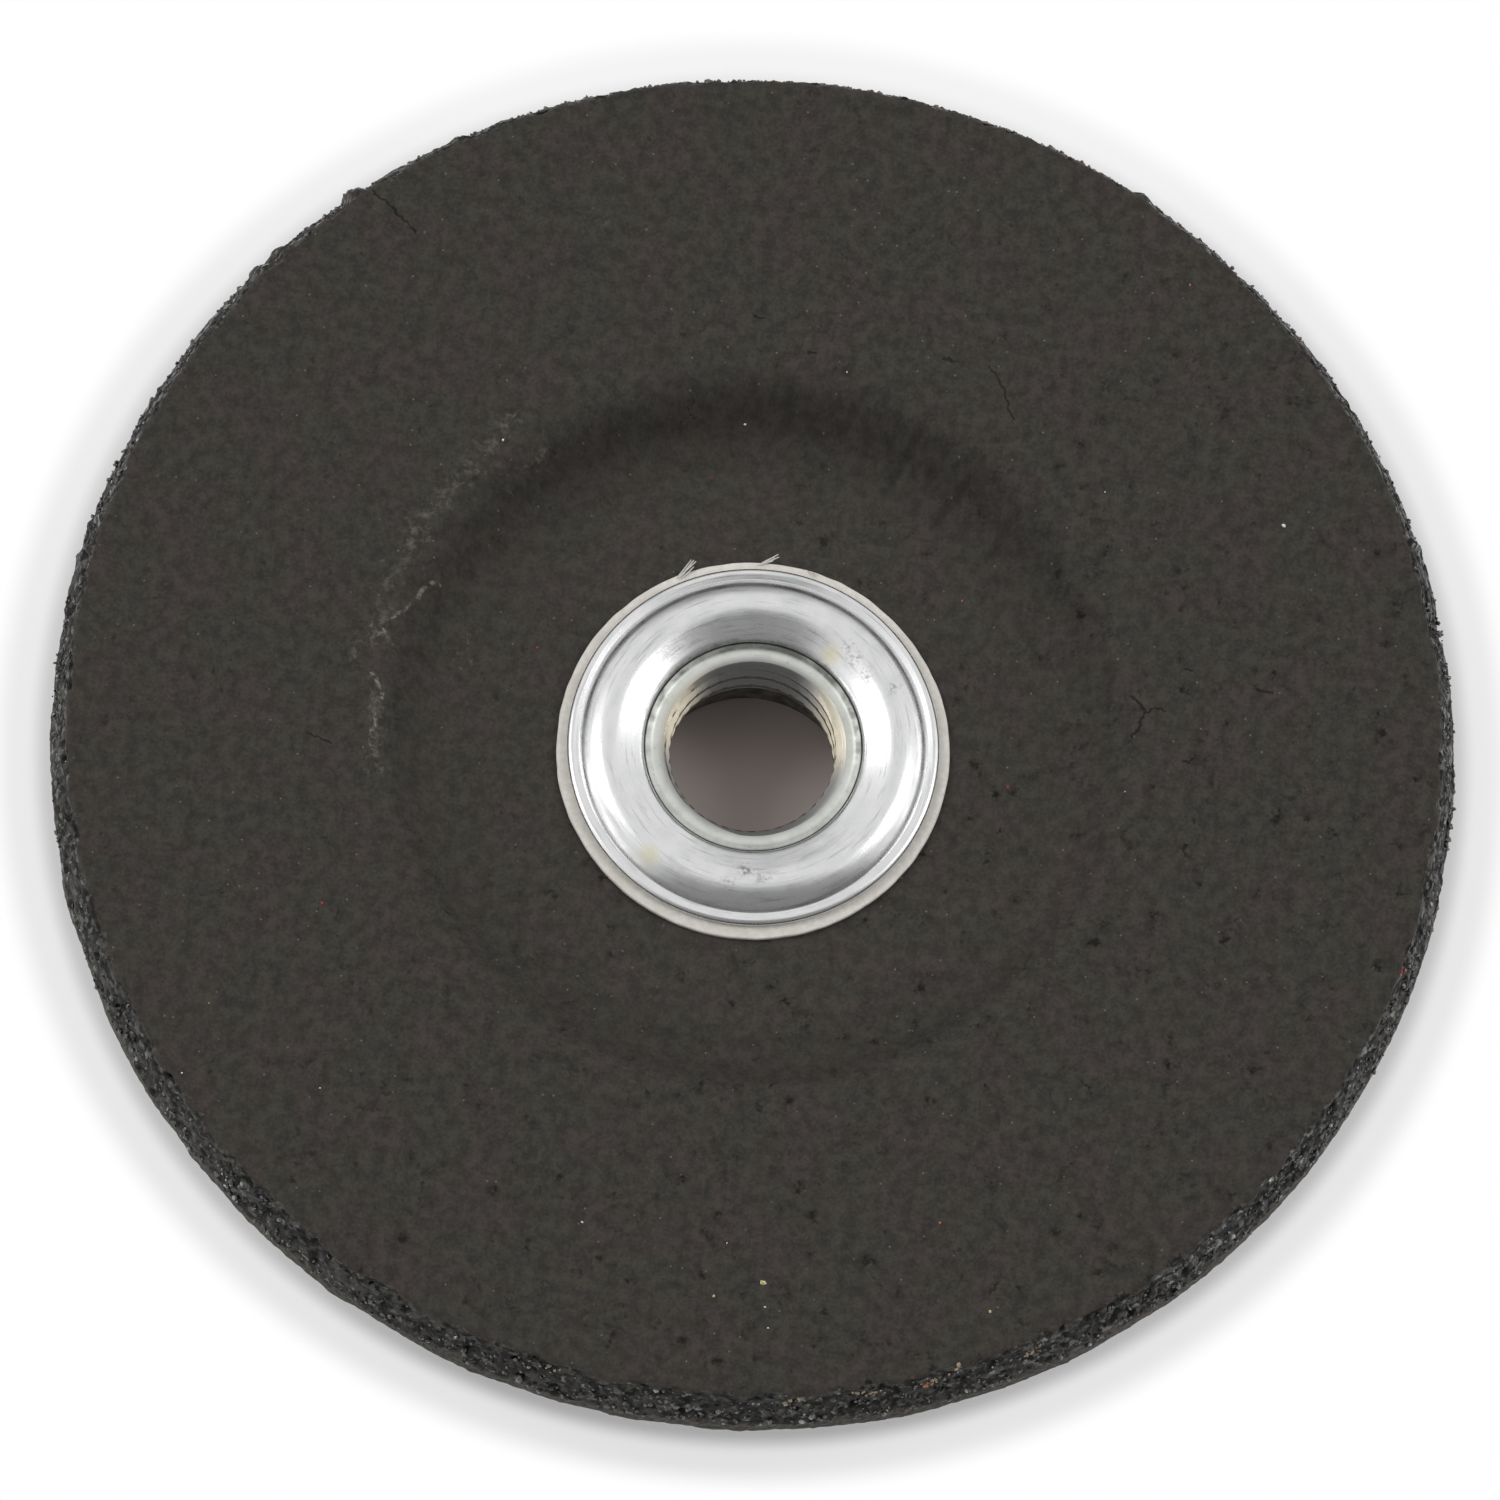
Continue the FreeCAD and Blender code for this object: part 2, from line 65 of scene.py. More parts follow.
# The wheel: its hollow with a slope in degrees between two arcs, the upright band at the
# rim's foot, how high the moulded skin reaches, and the direction of the roughest side.
DISH = WHEEL_FACE - WHEEL_FLOOR
BORE_RADIUS = 11.115
DISH_FLOOR_RADIUS = 24.9
DISH_BLEND = 3.4
DISH_SLOPE = 50
BAND_LOW = WHEEL_BACK + DISH
BAND_TOP = BAND_LOW + 2.1
SKIN_TOP = BAND_LOW + 2.2
ROUGHEST = math.radians(125)
FACE_EDGE_RADIUS = WHEEL_RADIUS - 1.75
FACE_ROUNDING = 0.6
BACK_ROUNDING = 0.4
DENTED_RADIUS = 38.5

# The hub: its 5/8-11 thread and wider relief bore, its barrel and neck with a staked rim,
# and its hexagon. The flange's sheet lies on the shoulder between barrel and neck.
THREAD_MINOR = 6.75
THREAD_MAJOR = 7.94
THREAD_PITCH = 25.4 / 11
THREAD_CHAMFER = 0.55
THREAD_DEPTH = 6.3
RELIEF_RADIUS = 8.6
RELIEF_CHAMFER = 0.5
BARREL_RADIUS = 11.0
NECK_RADIUS = 8.8
STAKED_RIM_WIDTH = 0.65
HEX_FLAT_RADIUS = 11.1
HEX_HEIGHT = 5.5
HEX_CHAMFER_SHARE = 0.97
SHEET = 0.8
SHOULDER = HUB_FACE - SHEET

# The camera: a long lens far above the near side, rolled a little.
FRAME_PIXELS = 1500
PIXELS_PER_MM = 12.3015
CAMERA_DISTANCE = 3000.0
CAMERA_ELEVATION = math.radians(72.816)
CAMERA_ROLL = math.radians(7.186)
CAMERA_TARGET = Vector((0, 0, 14.0))
TARGET_PIXEL = (752.78, 750.25)

BACK_AXIS = Vector((0, -math.cos(CAMERA_ELEVATION), math.sin(CAMERA_ELEVATION)))
LEVEL_AXIS = Vector((1, 0, 0))
STEEP_AXIS = Vector((0, math.sin(CAMERA_ELEVATION), math.cos(CAMERA_ELEVATION)))
RIGHT_AXIS = LEVEL_AXIS * math.cos(CAMERA_ROLL) + STEEP_AXIS * math.sin(CAMERA_ROLL)
UP_AXIS = STEEP_AXIS * math.cos(CAMERA_ROLL) - LEVEL_AXIS * math.sin(CAMERA_ROLL)
CAMERA_PLACE = CAMERA_TARGET + BACK_AXIS * CAMERA_DISTANCE


def seen_at(pixel, height):
    """The point of the level plane at a height that a pixel of the photograph shows."""
    across = (pixel[0] - TARGET_PIXEL[0]) / (PIXELS_PER_MM * CAMERA_DISTANCE)
    upward = (TARGET_PIXEL[1] - pixel[1]) / (PIXELS_PER_MM * CAMERA_DISTANCE)
    ray = RIGHT_AXIS * across + UP_AXIS * upward - BACK_AXIS
    return CAMERA_PLACE + ray * ((height - CAMERA_PLACE.z) / ray.z)


# Shapes


def line_points(start, end, count):
    """Evenly spaced points from start to just before end."""
    share = np.arange(count)[:, None] / count
    return np.array(start) * (1 - share) + np.array(end) * share


def arc_points(centre, radius, first, last, count):
    """Points on a circle from the first angle, in degrees, to just before the last."""
    turn = np.radians(first + (last - first) * np.arange(count) / count)
    return np.stack([centre[0] + radius * np.cos(turn), centre[1] + radius * np.sin(turn)], 1)


def polar(centre, radius, angle):
    """The point at an angle, in degrees, on a circle."""
    turn = math.radians(angle)
    return centre[0] + radius * math.cos(turn), centre[1] + radius * math.sin(turn)


def lattice_noise(points, cell, seed):
    """Smooth noise from -1 to 1: random values on a cubic lattice, blended by a smooth step.

    Each lattice node's value is a scrambled product of its whole-number coordinates, and the
    eight nodes round a point are mixed by 3t^2 - 2t^3 along each axis.
    """
    place = points / cell
    base = np.floor(place).astype(np.int64)
    part = place - base
    part = part * part * (3 - 2 * part)
    total = np.zeros(len(points))
    for corner in np.ndindex(2, 2, 2):
        index = base + np.array(corner)
        weight = np.prod(np.where(np.array(corner) == 1, part, 1 - part), axis=1)
        total += weight * (scramble(index, seed) * 2 - 1)
    return total


def scramble(index, seed):
    """A random value from 0 to 1 for each whole-number triple."""
    mixed = (index[:, 0] * 73856093) ^ (index[:, 1] * 19349663) ^ (index[:, 2] * 83492791)
    mixed = (mixed + seed * 2654435761) & 0xFFFFFFFF
    mixed = ((mixed ^ (mixed >> 15)) * 2246822519) & 0xFFFFFFFF
    mixed = ((mixed ^ (mixed >> 13)) * 3266489917) & 0xFFFFFFFF
    return (mixed ^ (mixed >> 16)) / 0xFFFFFFFF


def grain_field(points, cell, seed):
    """Distance to the nearest of one random point in each lattice cell, as a share of the cell,
    and that point's own random value."""
    place = points / cell
    base = np.floor(place).astype(np.int64)
    nearest = np.full(len(points), 9.0)
    value = np.zeros(len(points))
    for corner in np.ndindex(3, 3, 3):
        index = base + np.array(corner) - 1
        jitter = np.stack([scramble(index, seed + axis) for axis in range(3)], 1)
        gap = np.linalg.norm(index + jitter - place, axis=1)
        closer = gap < nearest
        nearest = np.where(closer, gap, nearest)
        value = np.where(closer, scramble(index, seed + 7), value)
    return nearest, value


def smooth(low, high, value):
    """A smooth step from 0 at low to 1 at high."""
    share = np.clip((value - low) / (high - low), 0, 1)
    return share * share * (3 - 2 * share)


def turned(outline, angles):
    """Every outline point (radius, height) at every angle: x = r cos a, y = r sin a, z = h."""
    radius, height = outline[:, 0][:, None], outline[:, 1][:, None]
    return np.stack([radius * np.cos(angles), radius * np.sin(angles),
                     height + 0 * angles], 2).reshape(-1, 3)


def ring_faces(rows, columns, closed_rows):
    """Faces of a grid that closes round its columns, and round its rows where asked."""
    row = np.arange(rows if closed_rows else rows - 1)[:, None]
    column = np.arange(columns)[None, :]
    after_row, after_column = (row + 1) % rows, (column + 1) % columns
    corners = [row * columns + column, row * columns + after_column,
               after_row * columns + after_column, after_row * columns + column]
    return np.stack(corners, 2).reshape(-1, 4)


def make_mesh(name, points, faces, flat=False):
    """A mesh object in metres at the origin, from points in millimetres."""
    mesh = bpy.data.meshes.new(name)
    mesh.from_pydata((np.asarray(points) * MM).tolist(), [], [list(face) for face in faces])
    mesh.update()
    mesh.polygons.foreach_set("use_smooth", np.full(len(mesh.polygons), not flat))
    piece = bpy.data.objects.new(name, mesh)
    bpy.context.scene.collection.objects.link(piece)
    return piece


def add_values(piece, name, values):
    """Stores one number for each point of the piece, for its material to read."""
    attribute = piece.data.attributes.new(name, "FLOAT", "POINT")
    attribute.data.foreach_set("value", np.asarray(values, np.float32))


def finish_piece(piece, material, slot, *nodes):
    """Gives a piece its finish and its body, and hides the solids that it stands for."""
    piece.data.materials.append(material)
    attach(piece, "root")
    if nodes:
        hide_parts(*nodes)


# The abrasive wheel

# Chalky scuffs along the brow of the hollow: pixels, strength and half width.
SCUFFS = (
    (((510, 425), (470, 466), (443, 500), (420, 530), (402, 560), (390, 600), (378, 645)),
     0.66, 1.1),
    (((378, 680), (374, 722), (376, 756)), 0.8, 0.7),
    (((478, 612), (462, 650)), 0.3, 1.2),
    (((545, 455), (520, 470)), 0.5, 0.9),
    (((365, 640), (352, 660), (372, 668)), 0.6, 0.6),
    (((375, 770), (368, 800)), 0.5, 0.9),
    (((620, 175), (600, 215)), 0.4, 0.7),
)

# Strokes of chalk, and hairline cracks, by their pixels.
CHALK = (
    ((440, 576), (427, 582), (415, 597), (404, 608), (391, 621), (377, 638)),
    ((371, 672), (379, 684), (382, 697)),
    ((376, 712), (371, 733), (372, 748)),
)
CRACKS = (
    ((1131, 695), (1141, 704), (1146, 712), (1158, 708), (1166, 711)),
    ((1146, 712), (1138, 726), (1133, 738)),
    ((990, 365), (998, 378), (1006, 398), (1014, 420)),
    ((372, 190), (388, 204), (402, 218), (414, 231)),
    ((305, 731), (318, 738), (330, 742)),
    ((1183, 668), (1193, 673)),
    ((1181, 762), (1192, 760)),
    ((1184, 845), (1186, 856)),
    ((1258, 690), (1272, 694)),
    ((755, 317), (765, 317)),
    ((808, 352), (815, 354)),
    ((945, 358), (954, 360)),
    ((445, 906), (449, 908)),
)

# Columns of faces round the wheel, and how far the finer ones reach in from the rim.
FACE_COLUMNS = 640
RIM_COLUMNS = 2 * FACE_COLUMNS
FINE_BACK = 2.2
FINE_FACE = 1.8


def dish_points(level, upward, counts):
    """The slope round the hollow: an arc, a straight ramp and an arc, rising outwards."""
    turn = math.radians(DISH_SLOPE)
    ramp = (DISH - 2 * DISH_BLEND * (1 - math.cos(turn))) / math.sin(turn)
    brow_radius = (DISH_FLOOR_RADIUS + 2 * DISH_BLEND * math.sin(turn)
                   + ramp * math.cos(turn))
    foot = (DISH_FLOOR_RADIUS, level + DISH_BLEND)
    brow = (brow_radius, level + DISH - DISH_BLEND)
    points = np.concatenate([
        arc_points(foot, DISH_BLEND, -90, -90 + DISH_SLOPE, counts[0]),
        line_points(polar(foot, DISH_BLEND, -90 + DISH_SLOPE),
                    polar(brow, DISH_BLEND, 90 + DISH_SLOPE), counts[1]),
        arc_points(brow, DISH_BLEND, 90 + DISH_SLOPE, 90, counts[2]),
        [(brow_radius, level + DISH)],
    ])
    return points if upward else points[::-1]


def wheel_outline():
    """The wheel's section, from the bore along the back, up the rim and back along the face.

    Gives the points, and the first and last row of the finely divided rim.
    """
    corner = (FACE_EDGE_RADIUS, WHEEL_FACE - FACE_ROUNDING)
    reach = math.hypot(WHEEL_RADIUS - corner[0], BAND_TOP - corner[1])
    draft = math.degrees(math.atan2(BAND_TOP - corner[1], WHEEL_RADIUS - corner[0])
                         + math.acos(FACE_ROUNDING / reach))
    back_dish = dish_points(WHEEL_BACK, True, (4, 2, 4))
    face_dish = dish_points(WHEEL_FLOOR, False, (7, 6, 9))
    rim_back = (WHEEL_RADIUS - FINE_BACK, BAND_LOW)
    rim_face = (FACE_EDGE_RADIUS - FINE_FACE, WHEEL_FACE)
    brow = (DENTED_RADIUS, WHEEL_FACE)
    before = np.concatenate([
        line_points((BORE_RADIUS, WHEEL_FLOOR), (BORE_RADIUS, WHEEL_BACK), 2),
        line_points((BORE_RADIUS, WHEEL_BACK), back_dish[0], 2),
        back_dish[:-1],
        line_points(back_dish[-1], rim_back, 3),
    ])
    rim = np.concatenate([
        line_points(rim_back, (WHEEL_RADIUS - BACK_ROUNDING, BAND_LOW), 4),
        arc_points((WHEEL_RADIUS - BACK_ROUNDING, BAND_LOW + BACK_ROUNDING), BACK_ROUNDING,
                   -90, 0, 4),
        line_points((WHEEL_RADIUS, BAND_LOW + BACK_ROUNDING), (WHEEL_RADIUS, BAND_TOP), 6),
        line_points((WHEEL_RADIUS, BAND_TOP), polar(corner, FACE_ROUNDING, draft), 13),
        arc_points(corner, FACE_ROUNDING, draft, 90, 4),
        line_points((FACE_EDGE_RADIUS, WHEEL_FACE), rim_face, 6),
        [rim_face],
    ])
    after = np.concatenate([
        line_points(rim_face, brow, 8)[1:],
        line_points(brow, face_dish[0], 12),
        face_dish,
        line_points(face_dish[-1], (BORE_RADIUS, WHEEL_FLOOR), 8)[1:],
    ])
    return np.concatenate([before, rim, after]), len(before), len(before) + len(rim) - 1


def rim_marks():
    """Uneven places of the rim that the photograph shows: angle in degrees, the width of the
    mark in degrees, and how far it stands out in millimetres."""
    places = (
        ((355, 187), 0.55, 0.75),
        ((347, 190), 0.25, 0.55),
        ((1421, 541), 0.3, 0.45),
        ((1443, 618), 1.6, -0.4),
        ((283, 250), 0.8, 0.35),
        ((262, 268), 0.5, 0.4),
        ((90, 512), 0.5, 0.4),
        ((82, 548), 0.45, 0.35),
        ((460, 137), 0.6, 0.35),
        ((505, 122), 0.7, 0.3),
        ((1140, 200), 0.5, 0.3),
        ((1230, 268), 0.8, -0.25),
        ((183, 1145), 0.6, 0.25),
        ((320, 1290), 0.9, 0.2),
    )
    marks = []
    for pixel, width, stand in places:
        spot = seen_at(pixel, WHEEL_FACE - 1)
        marks.append((math.degrees(math.atan2(spot.y, spot.x)), width, stand))
    return marks


def rim_relief(points, section, angles_deg):
    """How far each rim point stands out, and how much it belongs to the broken wall.

    Broad unevenness of 16 mm and lumps of 3 mm, grains of 0.85 and 0.5 mm rounded on top,
    and sunken pores in about half of all cells of 1.25 mm. The grains of the moulded band at
    the foot of the wall are lower. Each mark of the photograph fades off to its two sides.
    """
    radius, height = section[:, 0], section[:, 1]
    edge = 0.7 * lattice_noise(points, 1.4, 9)
    wall = smooth(SKIN_TOP - 0.4, SKIN_TOP + 0.4, height + 1.2 * edge) * smooth(
        FACE_EDGE_RADIUS + 0.25, FACE_EDGE_RADIUS + 0.6, radius + 0.5 * edge)
    band = smooth(WHEEL_RADIUS - 1.2, WHEEL_RADIUS - 0.5, radius) * (1 - wall)
    rim = np.maximum(wall, band)
    grain_gap, grain_value = grain_field(points, 0.85, 11)
    grains = (0.62 - grain_gap) * (0.35 + 0.65 * grain_value)
    fine_gap, fine_value = grain_field(points, 0.5, 23)
    fine = (0.6 - fine_gap) * (0.4 + 0.6 * fine_value)
    pore_gap, pore_value = grain_field(points, 1.25, 31)
    pores = smooth(0.42, 0.16, pore_gap) * (pore_value > 0.45)
    broad = lattice_noise(points, 16.0, 3)
    lumps = lattice_noise(points, 3.2, 5)
    angle = np.radians(angles_deg)
    rough_side = 0.62 + 0.38 * np.cos(angle - ROUGHEST)
    relief = (rim * (0.08 * broad + 0.22 * lumps * (0.5 + 0.5 * rough_side))
              + wall * (0.42 * grains + 0.2 * fine - 0.6 * pores) * (0.55 + 0.45 * rough_side)
              + band * (0.18 * grains + 0.1 * fine) - 0.14 * rim)
    for place, width, stand in rim_marks():
        away = (angles_deg - place + 180) % 360 - 180
        relief += rim * stand * np.exp(-(away / width) ** 2) * (0.6 + 0.4 * wall)
    return relief, wall, band


def stroke_gap(points, start, end):
    """Distance in the level plane from each point to the straight stroke between two points."""
    along = np.array(end)[:2] - np.array(start)[:2]
    offset = points[:, :2] - np.array(start)[:2]
    share = np.clip(offset @ along / (along @ along), 0, 1)
    return np.linalg.norm(offset - share[:, None] * along, axis=1)


# Dents in the face near the brow of the hollow: first and last pixel, half width and depth.
DENTS = (
    (((501, 441), (506, 439)), 0.42, 0.45),
    (((846, 372), (849, 371)), 0.45, 0.50),
    (((893, 476), (922, 430)), 0.38, 0.22),
    (((945, 505), (972, 474)), 0.40, 0.24),
    (((997, 541), (1014, 515)), 0.42, 0.26),
    (((842, 430), (870, 392)), 0.40, 0.14),
    (((1094, 930), (1099, 932)), 0.45, 0.35),
    (((1083, 946), (1086, 942)), 0.30, 0.25),
)


def face_relief(points, section):
    """The pressed skin's unevenness: broad waves, and dents with a low bank on their left."""
    relief = 0.035 * lattice_noise(points, 9.0, 41) + 0.03 * lattice_noise(points, 1.7, 43)
    for (first, last), width, depth in DENTS:
        start, end = seen_at(first, WHEEL_FACE), seen_at(last, WHEEL_FACE)
        gap = stroke_gap(points, start, end)
        relief -= depth * np.exp(-(gap / width) ** 2)
        aside = Vector((-0.75, 0.35, 0))
        gap = stroke_gap(points, start + aside, end + aside)
        relief += 0.3 * depth * np.exp(-(gap / width) ** 2)
    top_side = section[:, 1] >= WHEEL_FLOOR - 0.001
    return relief * top_side * smooth(14.5, 17.0, section[:, 0])


def scuff_strength(points):
    """How chalky the face is: strongest along the scuffed strokes, fading over a millimetre."""
    strength = np.zeros(len(points))
    for stroke, share, width in SCUFFS:
        for first, last in zip(stroke, stroke[1:]):
            gap = stroke_gap(points, seen_at(first, WHEEL_FACE - 1), seen_at(last, WHEEL_FACE - 1))
            strength = np.maximum(strength, share * np.exp(-(gap / width) ** 2))
    return strength


def make_wheel(skin, marked_skin, broken_rim):
    """The wheel: its section turned round the axis, with twice as many columns on the rim.

    A strip of five-sided faces joins the fine rim to the coarser back and face.
    """
    outline, rim_first, rim_last = wheel_outline()
    along = np.roll(outline, -1, 0) - np.roll(outline, 1, 0)
    normal = np.stack([along[:, 1], -along[:, 0]], 1)
    normal /= np.linalg.norm(normal, axis=1)[:, None]
    columns = np.where((np.arange(len(outline)) >= rim_first)
                       & (np.arange(len(outline)) <= rim_last), RIM_COLUMNS, FACE_COLUMNS)
    starts = np.concatenate([[0], np.cumsum(columns)[:-1]])
    rows = np.repeat(np.arange(len(outline)), columns)
    steps = np.arange(len(rows)) - starts[rows]
    turn = steps * 2 * math.pi / columns[rows]
    section, lean = outline[rows], normal[rows]
    points = np.stack([section[:, 0] * np.cos(turn), section[:, 0] * np.sin(turn),
                       section[:, 1]], 1)
    relief, wall, band = rim_relief(points, section, np.degrees(turn))
    relief += face_relief(points, section) * (1 - np.maximum(wall, band))
    outward = np.stack([lean[:, 0] * np.cos(turn), lean[:, 0] * np.sin(turn), lean[:, 1]], 1)
    points = points + outward * relief[:, None]
    points[:, 2] = np.minimum(points[:, 2], WHEEL_FACE)
    points[:, :2] = np.clip(points[:, :2], -WHEEL_RADIUS, WHEEL_RADIUS)

    faces = []
    for row in range(len(outline)):
        after = (row + 1) % len(outline)
        here, there = columns[row], columns[after]
        column = np.arange(min(here, there))
        beside = (column + 1) % len(column)
        first, second = starts[row], starts[after]
        double = 2 * column
        if here == there:
            strip = [first + column, first + beside, second + beside, second + column]
        elif here < there:
            strip = [first + column, first + beside, second + (double + 2) % there,
                     second + double + 1, second + double]
        else:
            strip = [first + double, first + double + 1, first + (double + 2) % here,
                     second + beside, second + column]
        faces += np.stack(strip, 1).tolist()
    piece = make_mesh("abrasive_wheel_moulding", points, faces)
    scuffs = scuff_strength(points)
    add_values(piece, "rim_wall", wall)
    add_values(piece, "scuffs", scuffs)
    finish_piece(piece, skin, "bonded_abrasive", "abrasive_wheel")
    piece.data.materials.append(marked_skin)
    piece.data.materials.append(broken_rim)

    # Faces near a scuff, crack or stroke of chalk get the marked skin, and the rim's its own.
    plain, marked, broken = range(3)
    mark_reach = 2.0
    near_mark = np.full(len(points), np.inf)
    for stroke in CRACKS + CHALK:
        for first, last in zip(stroke, stroke[1:]):
            gap = stroke_gap(points, seen_at(first, WHEEL_FACE), seen_at(last, WHEEL_FACE))
            near_mark = np.minimum(near_mark, gap)
    corner = np.array([face[0] for face in faces])
    opposite = np.array([face[2] for face in faces])
    near = np.minimum(near_mark[corner], near_mark[opposite]) < mark_reach
    scuffed = np.maximum(scuffs[corner], scuffs[opposite]) > 0.01
    kind = np.where(near | scuffed, marked, plain)
    kind = np.where(section[corner, 1] < WHEEL_FLOOR - 0.001, plain, kind)
    rim = np.maximum(wall, band)
    kind = np.where(np.maximum(rim[corner], rim[opposite]) > 0.4, broken, kind)
    piece.data.polygons.foreach_set("material_index", kind.astype(np.int32))
    return piece


# Crystals: twelve corners and twenty faces each, pressed out of shape

GOLDEN = (1 + 5 ** 0.5) / 2
CRYSTAL_POINTS = np.array([
    (-1, GOLDEN, 0), (1, GOLDEN, 0), (-1, -GOLDEN, 0), (1, -GOLDEN, 0),
    (0, -1, GOLDEN), (0, 1, GOLDEN), (0, -1, -GOLDEN), (0, 1, -GOLDEN),
    (GOLDEN, 0, -1), (GOLDEN, 0, 1), (-GOLDEN, 0, -1), (-GOLDEN, 0, 1)]) / math.hypot(1, GOLDEN)
CRYSTAL_FACES = np.array([
    (0, 11, 5), (0, 5, 1), (0, 1, 7), (0, 7, 10), (0, 10, 11), (1, 5, 9), (5, 11, 4),
    (11, 10, 2), (10, 7, 6), (7, 1, 8), (3, 9, 4), (3, 4, 2), (3, 2, 6), (3, 6, 8),
    (3, 8, 9), (4, 9, 5), (2, 4, 11), (6, 2, 10), (8, 6, 7), (9, 8, 1)])


def make_crystals(name, centres, radii, tints, seed, material, slot):
    """One mesh of many small crystals: a twenty-sided body stretched, jittered and turned."""
    chance = np.random.default_rng(seed)
    count = len(centres)
    shape = CRYSTAL_POINTS[None] * chance.uniform(0.55, 1.25, (count, 1, 3))
    shape = shape * chance.uniform(0.78, 1.1, (count, 12, 1))
    spin, _ = np.linalg.qr(chance.normal(size=(count, 3, 3)))
    spin *= np.sign(np.linalg.det(spin))[:, None, None]
    points = np.einsum("nij,nkj->nki", spin, shape) * np.asarray(radii)[:, None, None]
    points = points + np.asarray(centres)[:, None, :]
    faces = CRYSTAL_FACES[None] + 12 * np.arange(count)[:, None, None]
    piece = make_mesh(name, points.reshape(-1, 3), faces.reshape(-1, 3), flat=True)
    add_values(piece, "tint", np.repeat(tints, 12))
    finish_piece(piece, material, slot)
    return piece


def make_rim_grit(material):
    """Loose-looking grit on the sloping wall of the rim, each grain half sunk in it."""
    chance = np.random.default_rng(77)
    count = 2600
    share = chance.uniform(0, 1, count)
    height = BAND_TOP + share * (WHEEL_FACE - FACE_ROUNDING - BAND_TOP)
    radius = WHEEL_RADIUS + share * (FACE_EDGE_RADIUS + 0.35 - WHEEL_RADIUS)
    angle = chance.uniform(0, 2 * math.pi, count)
    size = chance.uniform(0.10, 0.26, count) * chance.uniform(0.7, 1.25, count)
    broken = height > SKIN_TOP - 0.2
    angle, radius, height, size = angle[broken], radius[broken], height[broken], size[broken]
    centres = np.stack([radius * np.cos(angle), radius * np.sin(angle), height], 1)
    tints = chance.uniform(0, 1, len(centres))
    return make_crystals("rim_grit", centres, size, tints, 78, material, "bonded_abrasive")


# Specks in the face: place in the photograph, size in millimetres, and tint in the grit's
# colour scale, from white at 1.1 through yellow, orange, tan and red to olive at 1.97.
WHITE, YELLOW, ORANGE, TAN, RED, OLIVE = 1.1, 1.3, 1.5, 1.7, 1.9, 1.97
FACE_SPECKS = (
    ((1284, 526), 0.20, WHITE), ((745, 424), 0.14, WHITE), ((1105, 492), 0.10, WHITE),
    ((763, 1283), 0.30, YELLOW), ((714, 1296), 0.17, YELLOW), ((990, 1312), 0.20, YELLOW),
    ((765, 1307), 0.11, WHITE), ((768, 1328), 0.09, WHITE), ((727, 1243), 0.09, WHITE),
    ((1190, 285), 0.16, ORANGE), ((962, 601), 0.14, ORANGE), ((940, 1223), 0.13, ORANGE),
    ((537, 648), 0.14, RED), ((712, 478), 0.10, RED), ((1008, 787), 0.15, RED),
    ((322, 903), 0.14, RED), ((503, 440), 0.12, WHITE), ((847, 372), 0.11, WHITE),
    ((1125, 792), 0.10, WHITE), ((209, 1003), 0.13, TAN), ((582, 1222), 0.12, WHITE),
    ((320, 1088), 0.09, WHITE),
)
RIM_SPECKS = (
    ((790, 1400), 0.40, OLIVE), ((798, 1397), 0.30, OLIVE), ((858, 1393), 0.30, OLIVE),
    ((872, 1392), 0.30, TAN), ((925, 1385), 0.34, ORANGE), ((932, 1379), 0.32, TAN),
    ((956, 1369), 0.28, TAN), ((1032, 1352), 0.30, TAN), ((1040, 1345), 0.26, TAN),
    ((1405, 970), 0.32, RED), ((360, 1278), 0.24, TAN), ((366, 1283), 0.2, TAN),
    ((555, 1370), 0.24, TAN), ((762, 1398), 0.16, WHITE), ((750, 1399), 0.14, WHITE),
    ((226, 1180), 0.2, WHITE), ((182, 1073), 0.15, WHITE), ((1270, 1180), 0.16, WHITE),
)


def make_specks(material):
    """Grains of other colours that show in the face and in the rim."""
    centres, sizes, tints = [], [], []
    for pixel, size, tint in FACE_SPECKS:
        spot = seen_at(pixel, WHEEL_FACE)
        if math.hypot(spot.x, spot.y) < DISH_FLOOR_RADIUS:
            spot = seen_at(pixel, WHEEL_FLOOR)
            centres.append((spot.x, spot.y, WHEEL_FLOOR - 0.1 * size))
        elif math.hypot(spot.x, spot.y) < DISH_FLOOR_RADIUS + 2 * DISH_BLEND:
            centres.append(tuple(on_slope(pixel)))
        else:
            centres.append((spot.x, spot.y, WHEEL_FACE - 0.1 * size))
        sizes.append(size)
        tints.append(tint)

    # A large speck of the rim is a nest: the grain itself and six smaller ones round it.
    random = np.random.default_rng(37)
    for pixel, size, tint in RIM_SPECKS:
        out = np.array(pixel) - TARGET_PIXEL
        out = out / np.linalg.norm(out)
        for step in range(1 if size < 0.2 else 7):
            aside = random.normal(0, (7, 2), 2) * min(step, 1)
            place = np.array(pixel) + aside[0] * np.array((-out[1], out[0])) + aside[1] * out
            centres.append(tuple(on_rim(place)))
            sizes.append(size * random.uniform(0.35, 0.7) if step else 0.8 * size)
            tints.append(tint)
    return make_crystals("coloured_specks", np.array(centres), sizes, tints, 91, material,
                         "bonded_abrasive")


def on_slope(pixel):
    """The point of the slope round the hollow under a pixel, found by stepping down to it."""
    profile = dish_points(WHEEL_FLOOR, True, (6, 4, 6))
    for height in np.arange(WHEEL_FACE, WHEEL_FLOOR, -0.05):
        spot = seen_at(pixel, height)
        if np.interp(math.hypot(spot.x, spot.y), profile[:, 0], profile[:, 1]) >= height:
            return spot
    return seen_at(pixel, WHEEL_FLOOR)


